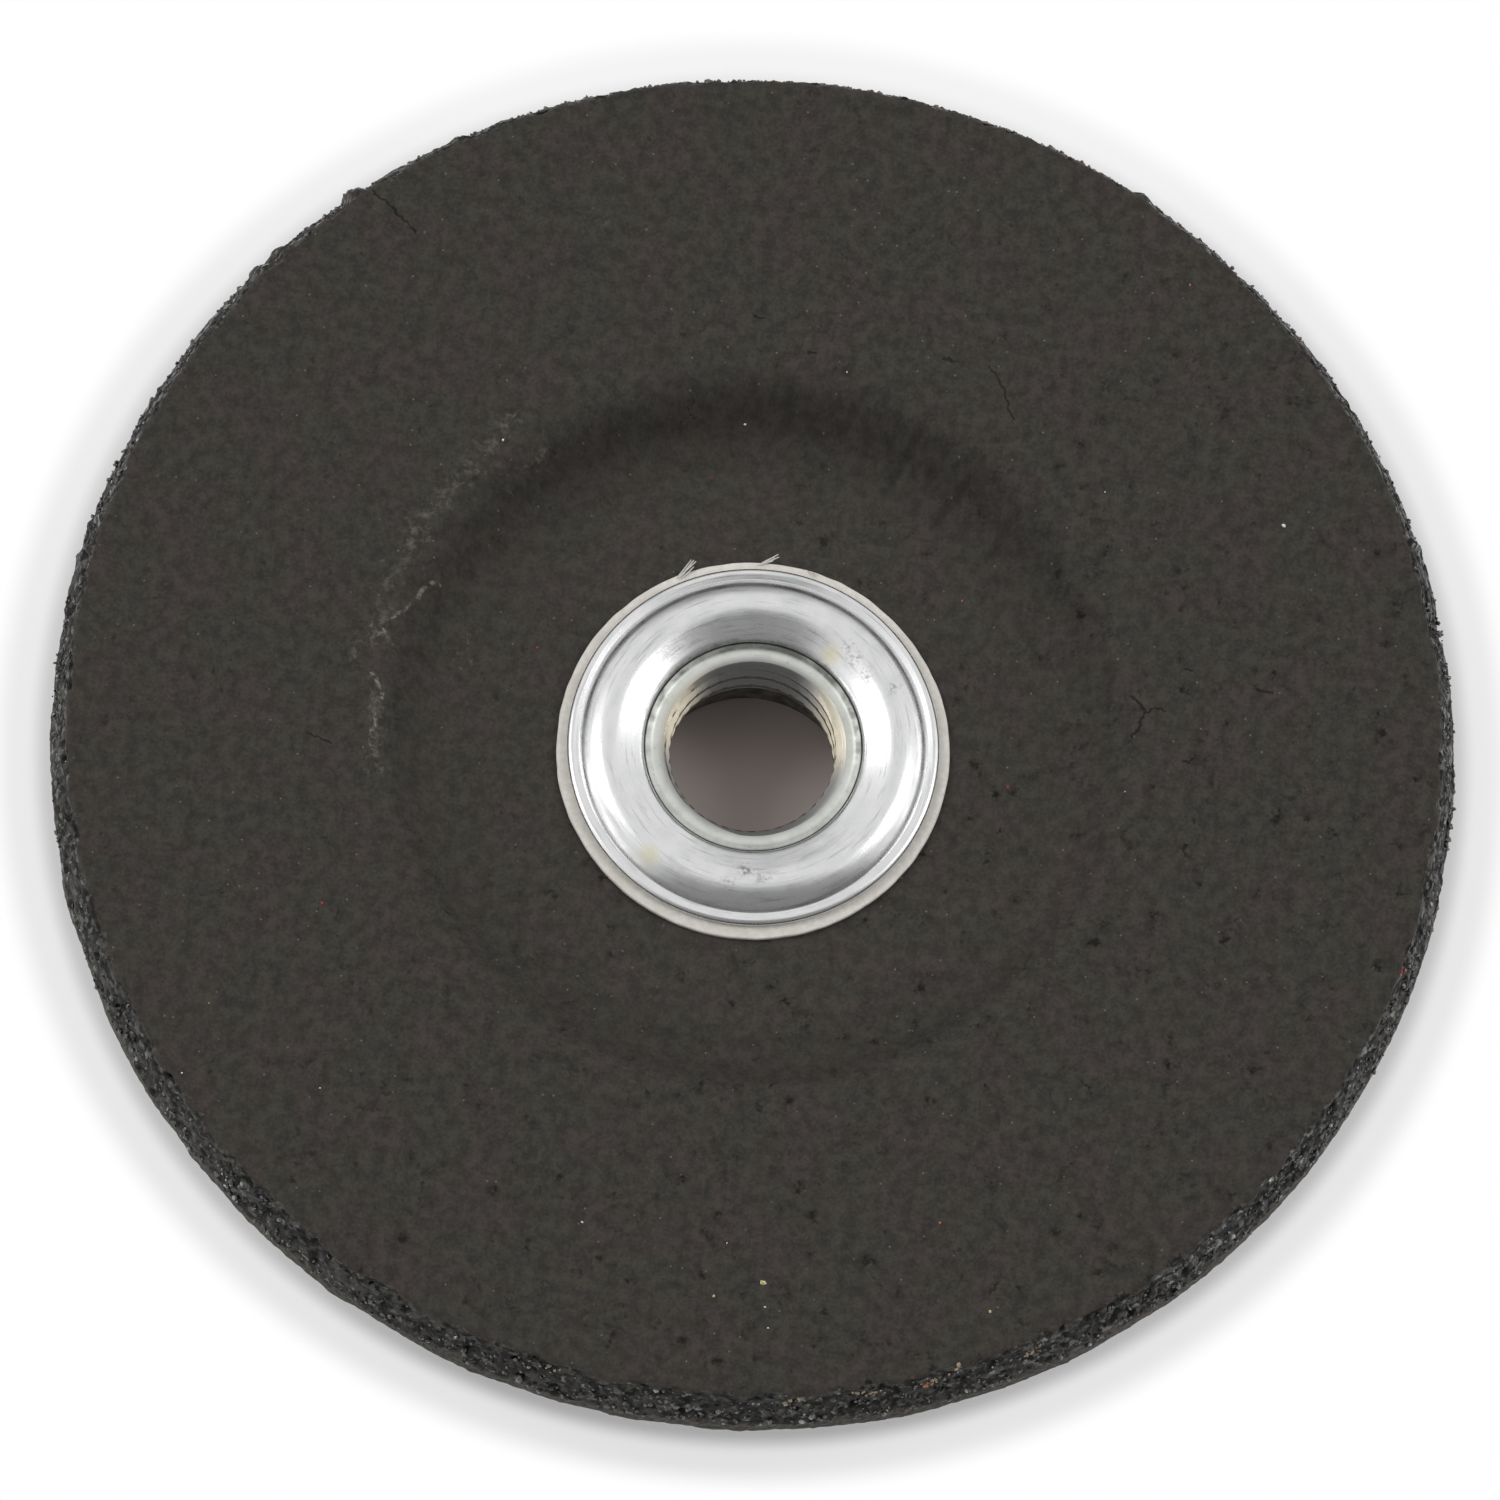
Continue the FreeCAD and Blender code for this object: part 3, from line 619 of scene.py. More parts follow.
def on_rim(pixel):
    """The point of the near rim wall under a pixel, found by stepping down to it."""
    for height in np.arange(WHEEL_FACE, BAND_TOP, -0.05):
        spot = seen_at(pixel, height)
        share = (WHEEL_FACE - height) / (WHEEL_FACE - BAND_TOP)
        wall = FACE_EDGE_RADIUS + 0.2 + share * (WHEEL_RADIUS - FACE_EDGE_RADIUS - 0.2)
        if math.hypot(spot.x, spot.y) <= wall:
            return spot
    return seen_at(pixel, BAND_TOP)


# The hub

HUB_COLUMNS = 540


def thread_shape(turns):
    """The thread's depth over one pitch, from 0 on its crest to 1 at its root.

    A V with flats: the crest is a quarter of the pitch wide and the root an eighth.
    """
    place = np.abs((turns % 1.0) - 0.5) * 2
    return np.clip((1 - place - 0.25) / (1 - 0.25 - 0.125), 0, 1)


def hub_outline():
    """The hub's section, from its top chamfer down the bore, along the end face and up outside.

    Gives the points in the reverse order, so that faces point outwards, and the number of
    points up to the end of each part.
    """
    rim_top = HUB_FACE + STAKED_RIM_RISE
    thread_top = HUB_FACE - THREAD_CHAMFER
    thread_end = HUB_FACE - THREAD_DEPTH
    relief_top = thread_end - (RELIEF_RADIUS - THREAD_MINOR)
    nut_back = WHEEL_BACK
    hex_low = HEX_FLAT_RADIUS * HEX_CHAMFER_SHARE
    outer = HEX_FLAT_RADIUS / math.cos(math.radians(30))
    cone_start = outer + 0.8
    parts = [
        line_points((NECK_RADIUS, rim_top - 0.05), (NECK_RADIUS - 0.07, rim_top), 2),
        line_points((NECK_RADIUS - 0.07, rim_top), (NECK_RADIUS - STAKED_RIM_WIDTH, HUB_FACE), 4),
        line_points((NECK_RADIUS - STAKED_RIM_WIDTH, HUB_FACE),
                    (THREAD_MINOR + THREAD_CHAMFER + 0.06, HUB_FACE), 4),
        line_points((THREAD_MINOR + THREAD_CHAMFER, HUB_FACE - 0.03), (THREAD_MINOR, thread_top), 6),
        line_points((THREAD_MINOR, thread_top), (THREAD_MINOR, thread_end), 96),
        line_points((THREAD_MINOR, thread_end), (RELIEF_RADIUS, relief_top), 5),
        line_points((RELIEF_RADIUS, relief_top), (RELIEF_RADIUS, RELIEF_CHAMFER), 5),
        line_points((RELIEF_RADIUS, RELIEF_CHAMFER), (RELIEF_RADIUS + RELIEF_CHAMFER, 0), 3),
        line_points((RELIEF_RADIUS + RELIEF_CHAMFER, 0), (hex_low, 0), 4),
        line_points((hex_low, 0), (outer, (outer - hex_low) * math.tan(math.radians(30))), 6),
        line_points((outer, (outer - hex_low) * math.tan(math.radians(30))),
                    (outer, HEX_HEIGHT), 6),
        line_points((outer, HEX_HEIGHT), (cone_start, HEX_HEIGHT + 0.02), 2),
        line_points((cone_start, HEX_HEIGHT), (NUT_FLANGE_RADIUS - 0.25, nut_back - 1.1), 4),
        arc_points((NUT_FLANGE_RADIUS - 0.25, nut_back - 0.85), 0.25, -75, 0, 4),
        line_points((NUT_FLANGE_RADIUS, nut_back - 0.85), (NUT_FLANGE_RADIUS, nut_back - 0.15), 2),
        line_points((NUT_FLANGE_RADIUS - 0.1, nut_back), (BARREL_RADIUS, nut_back), 3),
        line_points((BARREL_RADIUS, nut_back), (BARREL_RADIUS, SHOULDER), 3),
        line_points((BARREL_RADIUS, SHOULDER), (NECK_RADIUS, SHOULDER), 2),
        line_points((NECK_RADIUS, SHOULDER), (NECK_RADIUS, rim_top - 0.05), 2),
    ]
    ends = np.cumsum([len(part) for part in parts])
    return np.concatenate(parts)[::-1], ends


def make_hub(material):
    """The hub: its section turned round the axis, with a real thread and six flats.

    On the threaded wall r = crest + depth f(z / pitch - angle / full turn), with the depth
    growing from nothing over half a turn and cut off by the chamfer. The hexagon's radius is
    the flats' radius over the cosine of the angle from the nearest flat, and its corners are
    cut by the chamfer cone.
    """
    outline, ends = hub_outline()
    count = len(outline)
    angles = np.arange(HUB_COLUMNS) * 2 * math.pi / HUB_COLUMNS
    radius = np.repeat(outline[:, 0][:, None], HUB_COLUMNS, 1)
    height = np.repeat(outline[:, 1][:, None], HUB_COLUMNS, 1)
    row = count - 1 - np.arange(count)[:, None] + 0 * angles[None]
    turn = angles[None] + 0 * radius

    # Counted from 0, parts 3 to 5 of the outline are the threaded wall, and 9 to 11 the hexagon.
    threaded = (row >= ends[2]) & (row < ends[5])
    depth = (THREAD_MAJOR - THREAD_MINOR) * thread_shape(height / THREAD_PITCH
                                                         - turn / (2 * math.pi))
    fade = smooth(HUB_FACE - THREAD_DEPTH - 0.9, HUB_FACE - THREAD_DEPTH + 0.2, height)
    cut = THREAD_MINOR + depth * fade
    radius = np.where(threaded, np.maximum(radius, cut), radius)

    hexed = (row >= ends[8]) & (row < ends[11] - 1)
    from_flat = (turn % math.radians(60)) - math.radians(30)
    flat = HEX_FLAT_RADIUS / np.cos(from_flat)
    radius = np.where(hexed, np.minimum(radius, flat), radius)

    points = np.stack([radius * np.cos(turn), radius * np.sin(turn), height], 2).reshape(-1, 3)
    piece = make_mesh("hub_nut_turning", points, ring_faces(count, HUB_COLUMNS, True))
    piece.data.set_sharp_from_angle(angle=math.radians(28))
    finish_piece(piece, material, "plated_steel", "hub_nut")
    return piece


# The pressed flange

FLANGE_COLUMNS = 480
SHEARED_EDGE = 0.1
INNER_SLOPE = 22
BEAD_RADIUS = 2.5


def flange_middle_line():
    """The middle of the sheet from the neck to the lip: collar, slope, bead, groove and lip.

    The bead is a circle at the crest height that touches the groove's fold. A straight slope
    leaves it on the inside, and the collar's bend turns that down beside the neck.
    """
    half = SHEET / 2
    collar_fold = 0.05 + half
    groove_fold = 0.1 + half
    lip = 14
    lip_length = 0.45
    start = (NECK_RADIUS + 0.05 + half, SHOULDER + SHEARED_EDGE)
    end = flange_high.x - half
    last = (end - lip_length * math.cos(math.radians(lip))
            - groove_fold * math.sin(math.radians(lip)))
    outer_centre = (last, WASHER_TOP + half + groove_fold)
    crest = flange_high.z - half
    rise = outer_centre[1] - crest + BEAD_RADIUS
    reach = math.sqrt((BEAD_RADIUS + groove_fold) ** 2 - rise ** 2)
    centre = (last - reach, crest - BEAD_RADIUS)
    outer_meet = math.degrees(math.atan2(rise, reach))
    slope_start = polar(centre, BEAD_RADIUS, 90 + INNER_SLOPE)
    collar_x = start[0] + collar_fold
    bend_x = polar((collar_x, 0), collar_fold, 90 + INNER_SLOPE)[0]
    drop = (slope_start[0] - bend_x) * math.tan(math.radians(INNER_SLOPE))
    collar_z = slope_start[1] - drop - collar_fold * math.cos(math.radians(INNER_SLOPE))
    collar_centre = (collar_x, collar_z)
    bend_end = polar(collar_centre, collar_fold, 90 + INNER_SLOPE)
    lip_start = polar(outer_centre, groove_fold, -90 + lip)
    return np.concatenate([
        line_points(start, (start[0], collar_z), 3),
        arc_points(collar_centre, collar_fold, 180, 90 + INNER_SLOPE, 10),
        line_points(bend_end, slope_start, 8),
        arc_points(centre, BEAD_RADIUS, 90 + INNER_SLOPE, outer_meet, 28),
        arc_points(outer_centre, groove_fold, outer_meet - 180, lip - 90, 10),
        line_points(lip_start, polar(lip_start, lip_length, lip), 5),
        [polar(lip_start, lip_length, lip)],
    ])


def make_flange(material):
    """The flange: its middle line moved half the sheet each way, with its ends closed, and turned.

    The outer end is a half circle. The inner end is nearly square, as the shears leave it.
    The pressing is not quite true: the surface waves by a few hundredths of a millimetre.
    """
    middle = flange_middle_line()
    along = np.gradient(middle, axis=0)
    along /= np.linalg.norm(along, axis=1)[:, None]
    across = np.stack([-along[:, 1], along[:, 0]], 1)
    half = SHEET / 2
    last_angle = math.degrees(math.atan2(across[-1, 1], across[-1, 0]))
    first_angle = math.degrees(math.atan2(across[0, 1], across[0, 0]))
    section = np.concatenate([
        middle + across * half,
        arc_points(middle[-1], half, last_angle, last_angle - 180, 9)[1:],
        (middle - across * half)[::-1],
        middle[0] + (arc_points((0, 0), half, first_angle + 180, first_angle, 9)[1:]
                     * (1, SHEARED_EDGE / half)),
    ])[::-1]
    angles = np.arange(FLANGE_COLUMNS) * 2 * math.pi / FLANGE_COLUMNS
    points = turned(section, angles)
    top_side = smooth(WASHER_TOP + 0.55, WASHER_TOP + 1.2, points[:, 2])
    points[:, 2] += top_side * (0.03 * lattice_noise(points, 5.0, 61)
                                + 0.006 * lattice_noise(points, 1.5, 63) - 0.03)
    piece = make_mesh("front_flange_pressing", points,
                      ring_faces(len(section), FLANGE_COLUMNS, True))
    finish_piece(piece, material, "bright_plated_steel", "front_flange")
    return piece


# The washer and its stray fibres

WASHER_COLUMNS = 480
WASHER_SHIFT = (0.0, -0.1)
WASHER_SEAT = 14.6


def make_washer(material):
    """The washer: a thin ring with softly rounded edges, whose outline is uneven, and whose top
    is too, outside the seat on which the flange lies."""
    thick = WASHER_TOP - washer_low.z
    edge = 0.16
    inner = BARREL_RADIUS + 0.25
    section = np.concatenate([
        line_points((inner, washer_low.z), (WASHER_RADIUS - edge, washer_low.z), 8),
        arc_points((WASHER_RADIUS - edge, washer_low.z + edge), edge, -90, 0, 4),
        arc_points((WASHER_RADIUS - edge, WASHER_TOP - edge), edge, 0, 90, 4),
        line_points((WASHER_RADIUS - edge, WASHER_TOP), (inner, WASHER_TOP), 16),
        [(inner, WASHER_TOP)],
    ])
    angles = np.arange(WASHER_COLUMNS) * 2 * math.pi / WASHER_COLUMNS
    points = turned(section, angles)
    radius = np.linalg.norm(points[:, :2], axis=1)
    outside = smooth(WASHER_RADIUS - 1.2, WASHER_RADIUS, radius)
    fray = 0.045 * lattice_noise(points, 1.1, 71) + 0.05 * lattice_noise(points, 5.0, 72)
    points[:, :2] *= (1 + outside * fray / radius)[:, None]
    points[:, :2] += WASHER_SHIFT
    on_top = smooth(washer_low.z + 0.5 * thick, WASHER_TOP, points[:, 2])
    shown = smooth(WASHER_SEAT, WASHER_SEAT + 0.8, radius)
    points[:, 2] += on_top * shown * (0.03 * lattice_noise(points, 2.5, 73)
                                      + 0.05 * lattice_noise(points, 7.0, 74))
    piece = make_mesh("front_washer_ring", points, ring_faces(len(section), WASHER_COLUMNS, True))
    finish_piece(piece, material, "washer_board", "front_washer")
    return piece


def tube(path, radii, sides=8):
    """Points and faces of a closed tube along a path: circles square to it, with capped ends."""
    path = np.asarray(path, float)
    along = np.gradient(path, axis=0)
    along /= np.linalg.norm(along, axis=1)[:, None]
    side = np.cross(along, (0.3, 0.1, 1.0))
    side /= np.linalg.norm(side, axis=1)[:, None]
    over = np.cross(along, side)
    turn = np.arange(sides) * 2 * math.pi / sides
    circle = (side[:, None] * np.cos(turn)[None, :, None]
              + over[:, None] * np.sin(turn)[None, :, None])
    points = path[:, None] + circle * np.asarray(radii)[:, None, None]
    points = np.concatenate([points.reshape(-1, 3), path[:1], path[-1:]])
    faces = ring_faces(len(path), sides, False).tolist()
    first, last = len(path) * sides, len(path) * sides + 1
    for step in range(sides):
        after = (step + 1) % sides
        faces.append([first, after, step])
        faces.append([last, (len(path) - 1) * sides + step, (len(path) - 1) * sides + after])
    return points, faces


# Tufts of fibre: pixels of root and tip, the number of strands and their radius.
FIBRE_TUFTS = (
    ((676, 581), (693, 562), 5, 0.085),
    ((757, 567), (777, 558), 5, 0.085),
    ((808, 572), (815, 575), 2, 0.05),
)


def make_fibres(material):
    """Tufts of stray fibre at the washer's edge: thin bent tubes that fan out a little."""
    chance = np.random.default_rng(55)
    all_points, all_faces, offset = [], [], 0
    level = washer_low.z + 0.3
    for root_pixel, tip_pixel, count, thick in FIBRE_TUFTS:
        root = np.array(seen_at(root_pixel, level))
        tip = np.array(seen_at(tip_pixel, level + 0.5))
        for _ in range(count):
            end = tip + chance.normal(0, 0.13, 3) * (1, 1, 0.6)
            bend = (root + end) / 2 + chance.normal(0, 0.10, 3) + (0, 0, 0.15)
            share = np.linspace(0, 1, 12)[:, None]
            path = ((1 - share) ** 2 * (root + chance.normal(0, 0.05, 3) - (tip - root) * 0.15)
                    + 2 * share * (1 - share) * bend + share ** 2 * end)
            path[:, 2] = np.maximum(path[:, 2], WHEEL_FLOOR + thick)
            radii = thick * (1 - 0.45 * share[:, 0])
            points, faces = tube(path, radii)
            all_points.append(points)
            all_faces += [[index + offset for index in face] for face in faces]
            offset += len(points)
    piece = make_mesh("stray_fibres", np.concatenate(all_points), all_faces)
    finish_piece(piece, material, "washer_board")
    return piece


# Materials

CLOTH_TURN = math.radians(37)

# Pixels of the flange's pale yellow stains and of its smudges of dust.
STAINS = ((830, 655), (650, 855))
SMUDGES = ((856, 660), (868, 676), (850, 648), (745, 872), (762, 880), (728, 884), (893, 690))

# Settings that many nodes share: a soft step, an even noise in the level plane, sums and
# products, and a mixing of colours, whose result is the third output.
SMOOTH = {"interpolation_type": "SMOOTHSTEP"}
LEVEL = {"noise_dimensions": "2D"}
PLUS = {"operation": "ADD"}
MINUS = {"operation": "SUBTRACT"}
TIMES = {"operation": "MULTIPLY"}
TIMES_PLUS = {"operation": "MULTIPLY_ADD"}
COLOURS = {"output": 2, "data_type": "RGBA"}


def linear(code):
    """A colour written as sRGB hex, as linear values with full alpha."""
    parts = [int(code[index:index + 2], 16) / 255 for index in (1, 3, 5)]
    return [part / 12.92 if part <= 0.04045 else ((part + 0.055) / 1.055) ** 2.4
            for part in parts] + [1.0]


def per_mm(size):
    """The texture scale at which one cell is a size in millimetres."""
    return 1 / (size * MM)


def add(tree, kind, inputs=(), output=0, **settings):
    """Adds a node with its settings and links, and gives one of its outputs.

    Inputs come in the node's own order, or in a dictionary by name or number. Each is a
    value, or the output of another node, which is linked.
    """
    made = tree.nodes.new("ShaderNode" + kind)
    for name, value in settings.items():
        setattr(made, name, value)
    for name, value in inputs.items() if isinstance(inputs, dict) else enumerate(inputs):
        if isinstance(value, bpy.types.NodeSocket):
            tree.links.new(value, made.inputs[name])
        else:
            made.inputs[name].default_value = value
    return made.outputs[output] if made.outputs else None


def new_material(name):
    """A material without a finish yet: itself, its tree and its object coordinates."""
    material = bpy.data.materials.new(name)
    material.use_nodes = True
    tree = material.node_tree
    tree.nodes.clear()
    return material, tree, add(tree, "TexCoord", output="Object")


def coat(tree, finish):
    """Gives the surface a finish, written as the shader's own inputs."""
    add(tree, "OutputMaterial", {"Surface": add(tree, "BsdfPrincipled", finish)})


def overlap(tree, *masks):
    """How far several masks hold together: their product."""
    product = masks[0]
    for mask in masks[1:]:
        product = add(tree, "Math", (product, mask), **TIMES)
    return product


def closest(tree, gaps):
    """The least of several distances."""
    least = gaps[0]
    for gap in gaps[1:]:
        least = add(tree, "Math", (least, gap), operation="MINIMUM")
    return least


def layered(tree, colour, *layers):
    """A colour with others over it: for each, how much of it shows, and its sRGB hex."""
    for cover, code in layers:
        colour = add(tree, "Mix", {0: cover, 6: colour, 7: linear(code)}, **COLOURS)
    return colour


def to_axis(tree, place):
    """The distance in metres from the disc's axis."""
    flat = add(tree, "VectorMath", (place, (1, 1, 0)), **TIMES)
    return add(tree, "VectorMath", (flat,), "Value", operation="LENGTH")


def radial_lines(tree, place, pitch):
    """Fine lines round the axis: noise read along the radius, which a lathe or a press leaves."""
    return add(tree, "TexNoise", {"W": to_axis(tree, place), "Scale": per_mm(pitch),
                                  "Detail": 3.0, "Roughness": 0.7}, noise_dimensions="1D")


def far_side_seam_shade(tree, place):
    """Dust and painted shade in the seams of the hub: full on +y, a quarter of that on -y."""
    sideways = add(tree, "SeparateXYZ", (place,), "Y")
    return add(tree, "MapRange", (sideways, -4 * MM, 4 * MM, 0.25, 1.0), **SMOOTH)


def ragged(tree, place, cloud, reach):
    """A place pushed about by a coloured cloud, up to half a reach each way, so that a mark
    that is measured from there gets a ragged edge."""
    push = add(tree, "VectorMath", (cloud, (0.5, 0.5, 0.5)), **MINUS)
    return add(tree, "VectorMath", (push, reach, place), **TIMES_PLUS)


def gap_to_spots(tree, place, pixels, level):
    """The distance in metres from the nearest of several pixels' places at a height."""
    return closest(tree, [add(tree, "VectorMath", (place, seen_at(pixel, level) * MM), "Value",
                              operation="DISTANCE") for pixel in pixels])


def gap_to_line(tree, place, start, end):
    """The distance in metres from a straight mark between two points of the level plane."""
    along = (end - start) * MM
    offset = add(tree, "VectorMath", (place, start * MM), **MINUS)
    share = add(tree, "VectorMath", (offset, along / along.length_squared), "Value",
                operation="DOT_PRODUCT")
    foot = add(tree, "VectorMath", {0: along, "Scale": add(tree, "Clamp", (share,))},
               operation="SCALE")
    return add(tree, "VectorMath", (offset, foot), "Value", operation="DISTANCE")


def gap_to_strokes(tree, place, strokes):
    """The distance in metres from the nearest of several strokes on the face, seen level."""
    gaps = []
    for stroke in strokes:
        spots = [seen_at(pixel, WHEEL_FACE).xy.to_3d() for pixel in stroke]
        gaps += [gap_to_line(tree, place, *ends) for ends in zip(spots, spots[1:])]
    return closest(tree, gaps)


def grit_colour(tree, value):
    """Colour scale of the grit: black to grey up to 1, then the odd coloured grains."""
    stops = ((0.0, "#181818"), (0.12, "#2a2928"), (0.24, "#3b3936"), (0.36, "#4e4b47"),
             (0.44, "#686964"), (0.475, "#939894"), (0.50, "#e6e4dc"), (0.60, "#cbc48a"),
             (0.70, "#a8683c"), (0.80, "#a08a70"), (0.92, "#a3222f"), (0.97, "#8d8762"))
    colour = add(tree, "ValToRGB", (add(tree, "Math", (value, 0.5), **TIMES),))
    scale = colour.node.color_ramp
    scale.interpolation = "CONSTANT"
    while len(scale.elements) < len(stops):
        scale.elements.new(0.5)
    for element, (position, code) in zip(scale.elements, stops):
        element.position = position
        element.color = linear(code)
    return colour


def grit_material():
    """Silicon carbide and alumina grit: broken crystals with glassy faces, dark with the odd
    light one. The faces glint, so the roughness is low and the specular is that of a gem."""
    material, tree, place = new_material("silicon_carbide_grit")
    tint = add(tree, "Attribute", output="Fac", attribute_name="tint")
    dust = add(tree, "TexNoise", {"Vector": place, "Scale": per_mm(0.35)})
    dusty = add(tree, "MapRange", (dust, 0.45, 0.75, 0.0, 0.45), **SMOOTH)
    coat(tree, {"Base Color": layered(tree, grit_colour(tree, tint), (dusty, "#55504a")),
                "Roughness": add(tree, "MapRange", (dust, 0.4, 0.7, 0.22, 0.55), **SMOOTH),
                "IOR": 1.75})
    return material


def skin_material(name, marked):
    """Hot-pressed resin with silicon carbide grit, as its skin comes off the mould plate.

    The resin dries to a dull charcoal brown, mottled where grit lies just under it. Glass
    cloth pressed in beneath, its threads 2.5 mm apart and slanting across the disc, leaves
    dark clumps of open pores over its knots. The eye gets a dry surface with hardly any gloss.
    """
    material, tree, place = new_material(name)

    # Grain of 0.3 mm, the finest that the picture can hold, over mottling of 1 mm.
    fine = add(tree, "TexNoise", {"Vector": place, "Scale": per_mm(0.3), "Roughness": 0.6},
               **LEVEL)
    mottle = add(tree, "TexNoise", {"Vector": place, "Scale": per_mm(1.1), "Detail": 3.0,
                                    "Roughness": 0.65}, **LEVEL)
    broad = add(tree, "TexNoise", {"Vector": place, "Scale": per_mm(5.0), "Detail": 1.0},
                **LEVEL).node.outputs
    coarse = add(tree, "Math", (mottle, 0.64), **TIMES)
    shade = add(tree, "Math", (fine, 0.36, coarse), **TIMES_PLUS)
    warmth = add(tree, "MapRange", (broad["Fac"], 0.42, 0.6), **SMOOTH)
    dark = layered(tree, linear("#32302c"), (warmth, "#332f2c"))
    light = layered(tree, linear("#43403a"), (warmth, "#453f3b"))
    lightness = add(tree, "MapRange", (shade, 0.3, 0.7), **SMOOTH)
    skin = add(tree, "Mix", {0: lightness, 6: dark, 7: light}, **COLOURS)

    # Painted light and shade: the hollow's floor is painted a trace paler, and painted shade
    # darkens its slope's foot on the near and far side.
    parts = add(tree, "SeparateXYZ", (place,)).node.outputs
    depth = add(tree, "MapRange", (parts["Z"], (WHEEL_FACE - 1) * MM, WHEEL_FLOOR * MM,
                                   0.0, 0.025), **SMOOTH)
    radius = to_axis(tree, place)
    foot = overlap(
        tree,
        add(tree, "MapRange", (radius, (DISH_FLOOR_RADIUS - 2) * MM, DISH_FLOOR_RADIUS * MM),
            **SMOOTH),
        add(tree, "MapRange", (radius, (DISH_FLOOR_RADIUS + 5) * MM,
                               (DISH_FLOOR_RADIUS + 3) * MM), **SMOOTH),
        add(tree, "MapRange", (add(tree, "Math", (parts["Y"],), operation="ABSOLUTE"),
                               8 * MM, 22 * MM, 0.0, 0.14), **SMOOTH))
    # Painted light on the hollow's floor, then painted shade at the slope's foot.
    skin = layered(tree, skin, (depth, "#8a8278"), (foot, "#161411"))

    # Threads of the cloth as two slanting waves, bent a little; knots where both are high.
    slant = add(tree, "Mapping", {"Vector": place, "Rotation": (0, 0, CLOTH_TURN),
                                  "Scale": (per_mm(2.5), per_mm(2.5), 0)})
    bent = add(tree, "VectorMath", (broad["Color"], (1.6, 1.6, 0), slant), **TIMES_PLUS)
    threads = add(tree, "SeparateXYZ", (bent,)).node.outputs
    waves = [add(tree, "Math", (threads[axis], 0.5), operation="PINGPONG") for axis in "XY"]
    knots = overlap(tree, *[add(tree, "MapRange", (wave, 0.1, 0.45), **SMOOTH)
                            for wave in waves])

    # Pores: the low places of a 0.8 mm noise, let deeper over the knots and towards the
    # lower right of the disc, where the skin is thinner.
    side = add(tree, "VectorMath", (place, (8.0, -6.0, 0.0)), "Value", operation="DOT_PRODUCT")
    patches = add(tree, "TexNoise", {"Vector": place, "Scale": per_mm(3.5), "Detail": 1.0},
                  **LEVEL)
    thin = overlap(tree, knots, add(tree, "MapRange", (side, -0.4, 0.4, 0.0, 0.08), **SMOOTH))
    patchy = add(tree, "MapRange", (patches, 0.5, 0.75, -0.04, 0.09), **SMOOTH)
    pitted = add(tree, "TexNoise", {"Vector": place, "Scale": per_mm(0.8), "Detail": 3.0,
                                    "Roughness": 0.6}, **LEVEL)
    pitted = add(tree, "Math", (pitted, add(tree, "Math", (thin, patchy), **PLUS)), **MINUS)
    pores = add(tree, "MapRange", (pitted, 0.32, 0.18), **SMOOTH)

    # Grit laid open in clumps of 1.5 mm, most over the knots and where the patches are high.
    clumps = add(tree, "TexNoise", {"Vector": place, "Scale": per_mm(1.5), "Detail": 4.0,
                                    "Roughness": 0.7}, **LEVEL)
    open_grit = overlap(
        tree,
        add(tree, "MapRange", (clumps, 0.5, 0.72), **SMOOTH),
        add(tree, "Math", (0.35, knots), **PLUS),
        add(tree, "MapRange", (side, -0.35, 0.3, 0.22, 0.75), **SMOOTH),
        add(tree, "MapRange", (patches, 0.4, 0.62, 0.15, 1.4), **SMOOTH))

    # Pale grains of under 0.15 mm in some cells of 1.3 mm.
    cells = add(tree, "TexVoronoi", {"Vector": place, "Scale": per_mm(1.3)},
                voronoi_dimensions="2D").node.outputs
    chance = add(tree, "SeparateColor", (cells["Color"],), "Green")
    dots = overlap(tree, add(tree, "MapRange", (cells["Distance"], 0.09, 0.03), **SMOOTH),
                   add(tree, "MapRange", (chance, 0.85, 1.0, 0.0, 0.5), **SMOOTH))
    half_pores = add(tree, "Math", (pores, 0.5), **TIMES)
    skin = layered(tree, skin, (open_grit, "#191714"), (half_pores, "#161411"),
                   (dots, "#85827b"))

    # Chalk where the disc was rubbed, in strokes and a haze round them, and hairline cracks.
    if marked:
        scuffs = add(tree, "Attribute", output="Fac", attribute_name="scuffs")
        feather = add(tree, "TexNoise", {"Vector": place, "Scale": per_mm(0.7), "Detail": 4.0,
                                         "Roughness": 0.7}, **LEVEL)
        chalk = add(tree, "Math", (scuffs, 0.32, feather), **TIMES_PLUS)
        chalk = overlap(tree, add(tree, "MapRange", (chalk, 0.6, 0.95), **SMOOTH),
                        add(tree, "MapRange", (patches, 0.36, 0.56, 0.08, 0.4), **SMOOTH))
        cloud = add(tree, "TexNoise", {"Vector": place, "Scale": per_mm(0.9)}, "Color", **LEVEL)
        spot = ragged(tree, add(tree, "VectorMath", (place, (1, 1, 0)), **TIMES), cloud,
                      (0.8 * MM, 0.8 * MM, 0))
        strokes = overlap(
            tree,
            add(tree, "MapRange", (gap_to_strokes(tree, spot, CHALK), 0.24 * MM, 0.06 * MM,
                                   0.0, 0.4), **SMOOTH),
            add(tree, "MapRange", (feather, 0.4, 0.65), **SMOOTH))
        cracks = add(tree, "MapRange", (gap_to_strokes(tree, spot, CRACKS), 0.16 * MM,
                                        0.04 * MM, 0.0, 0.75), **SMOOTH)
        skin = layered(tree, skin, (chalk, "#857f75"), (strokes, "#a8a399"),
                       (cracks, "#100e0d"))

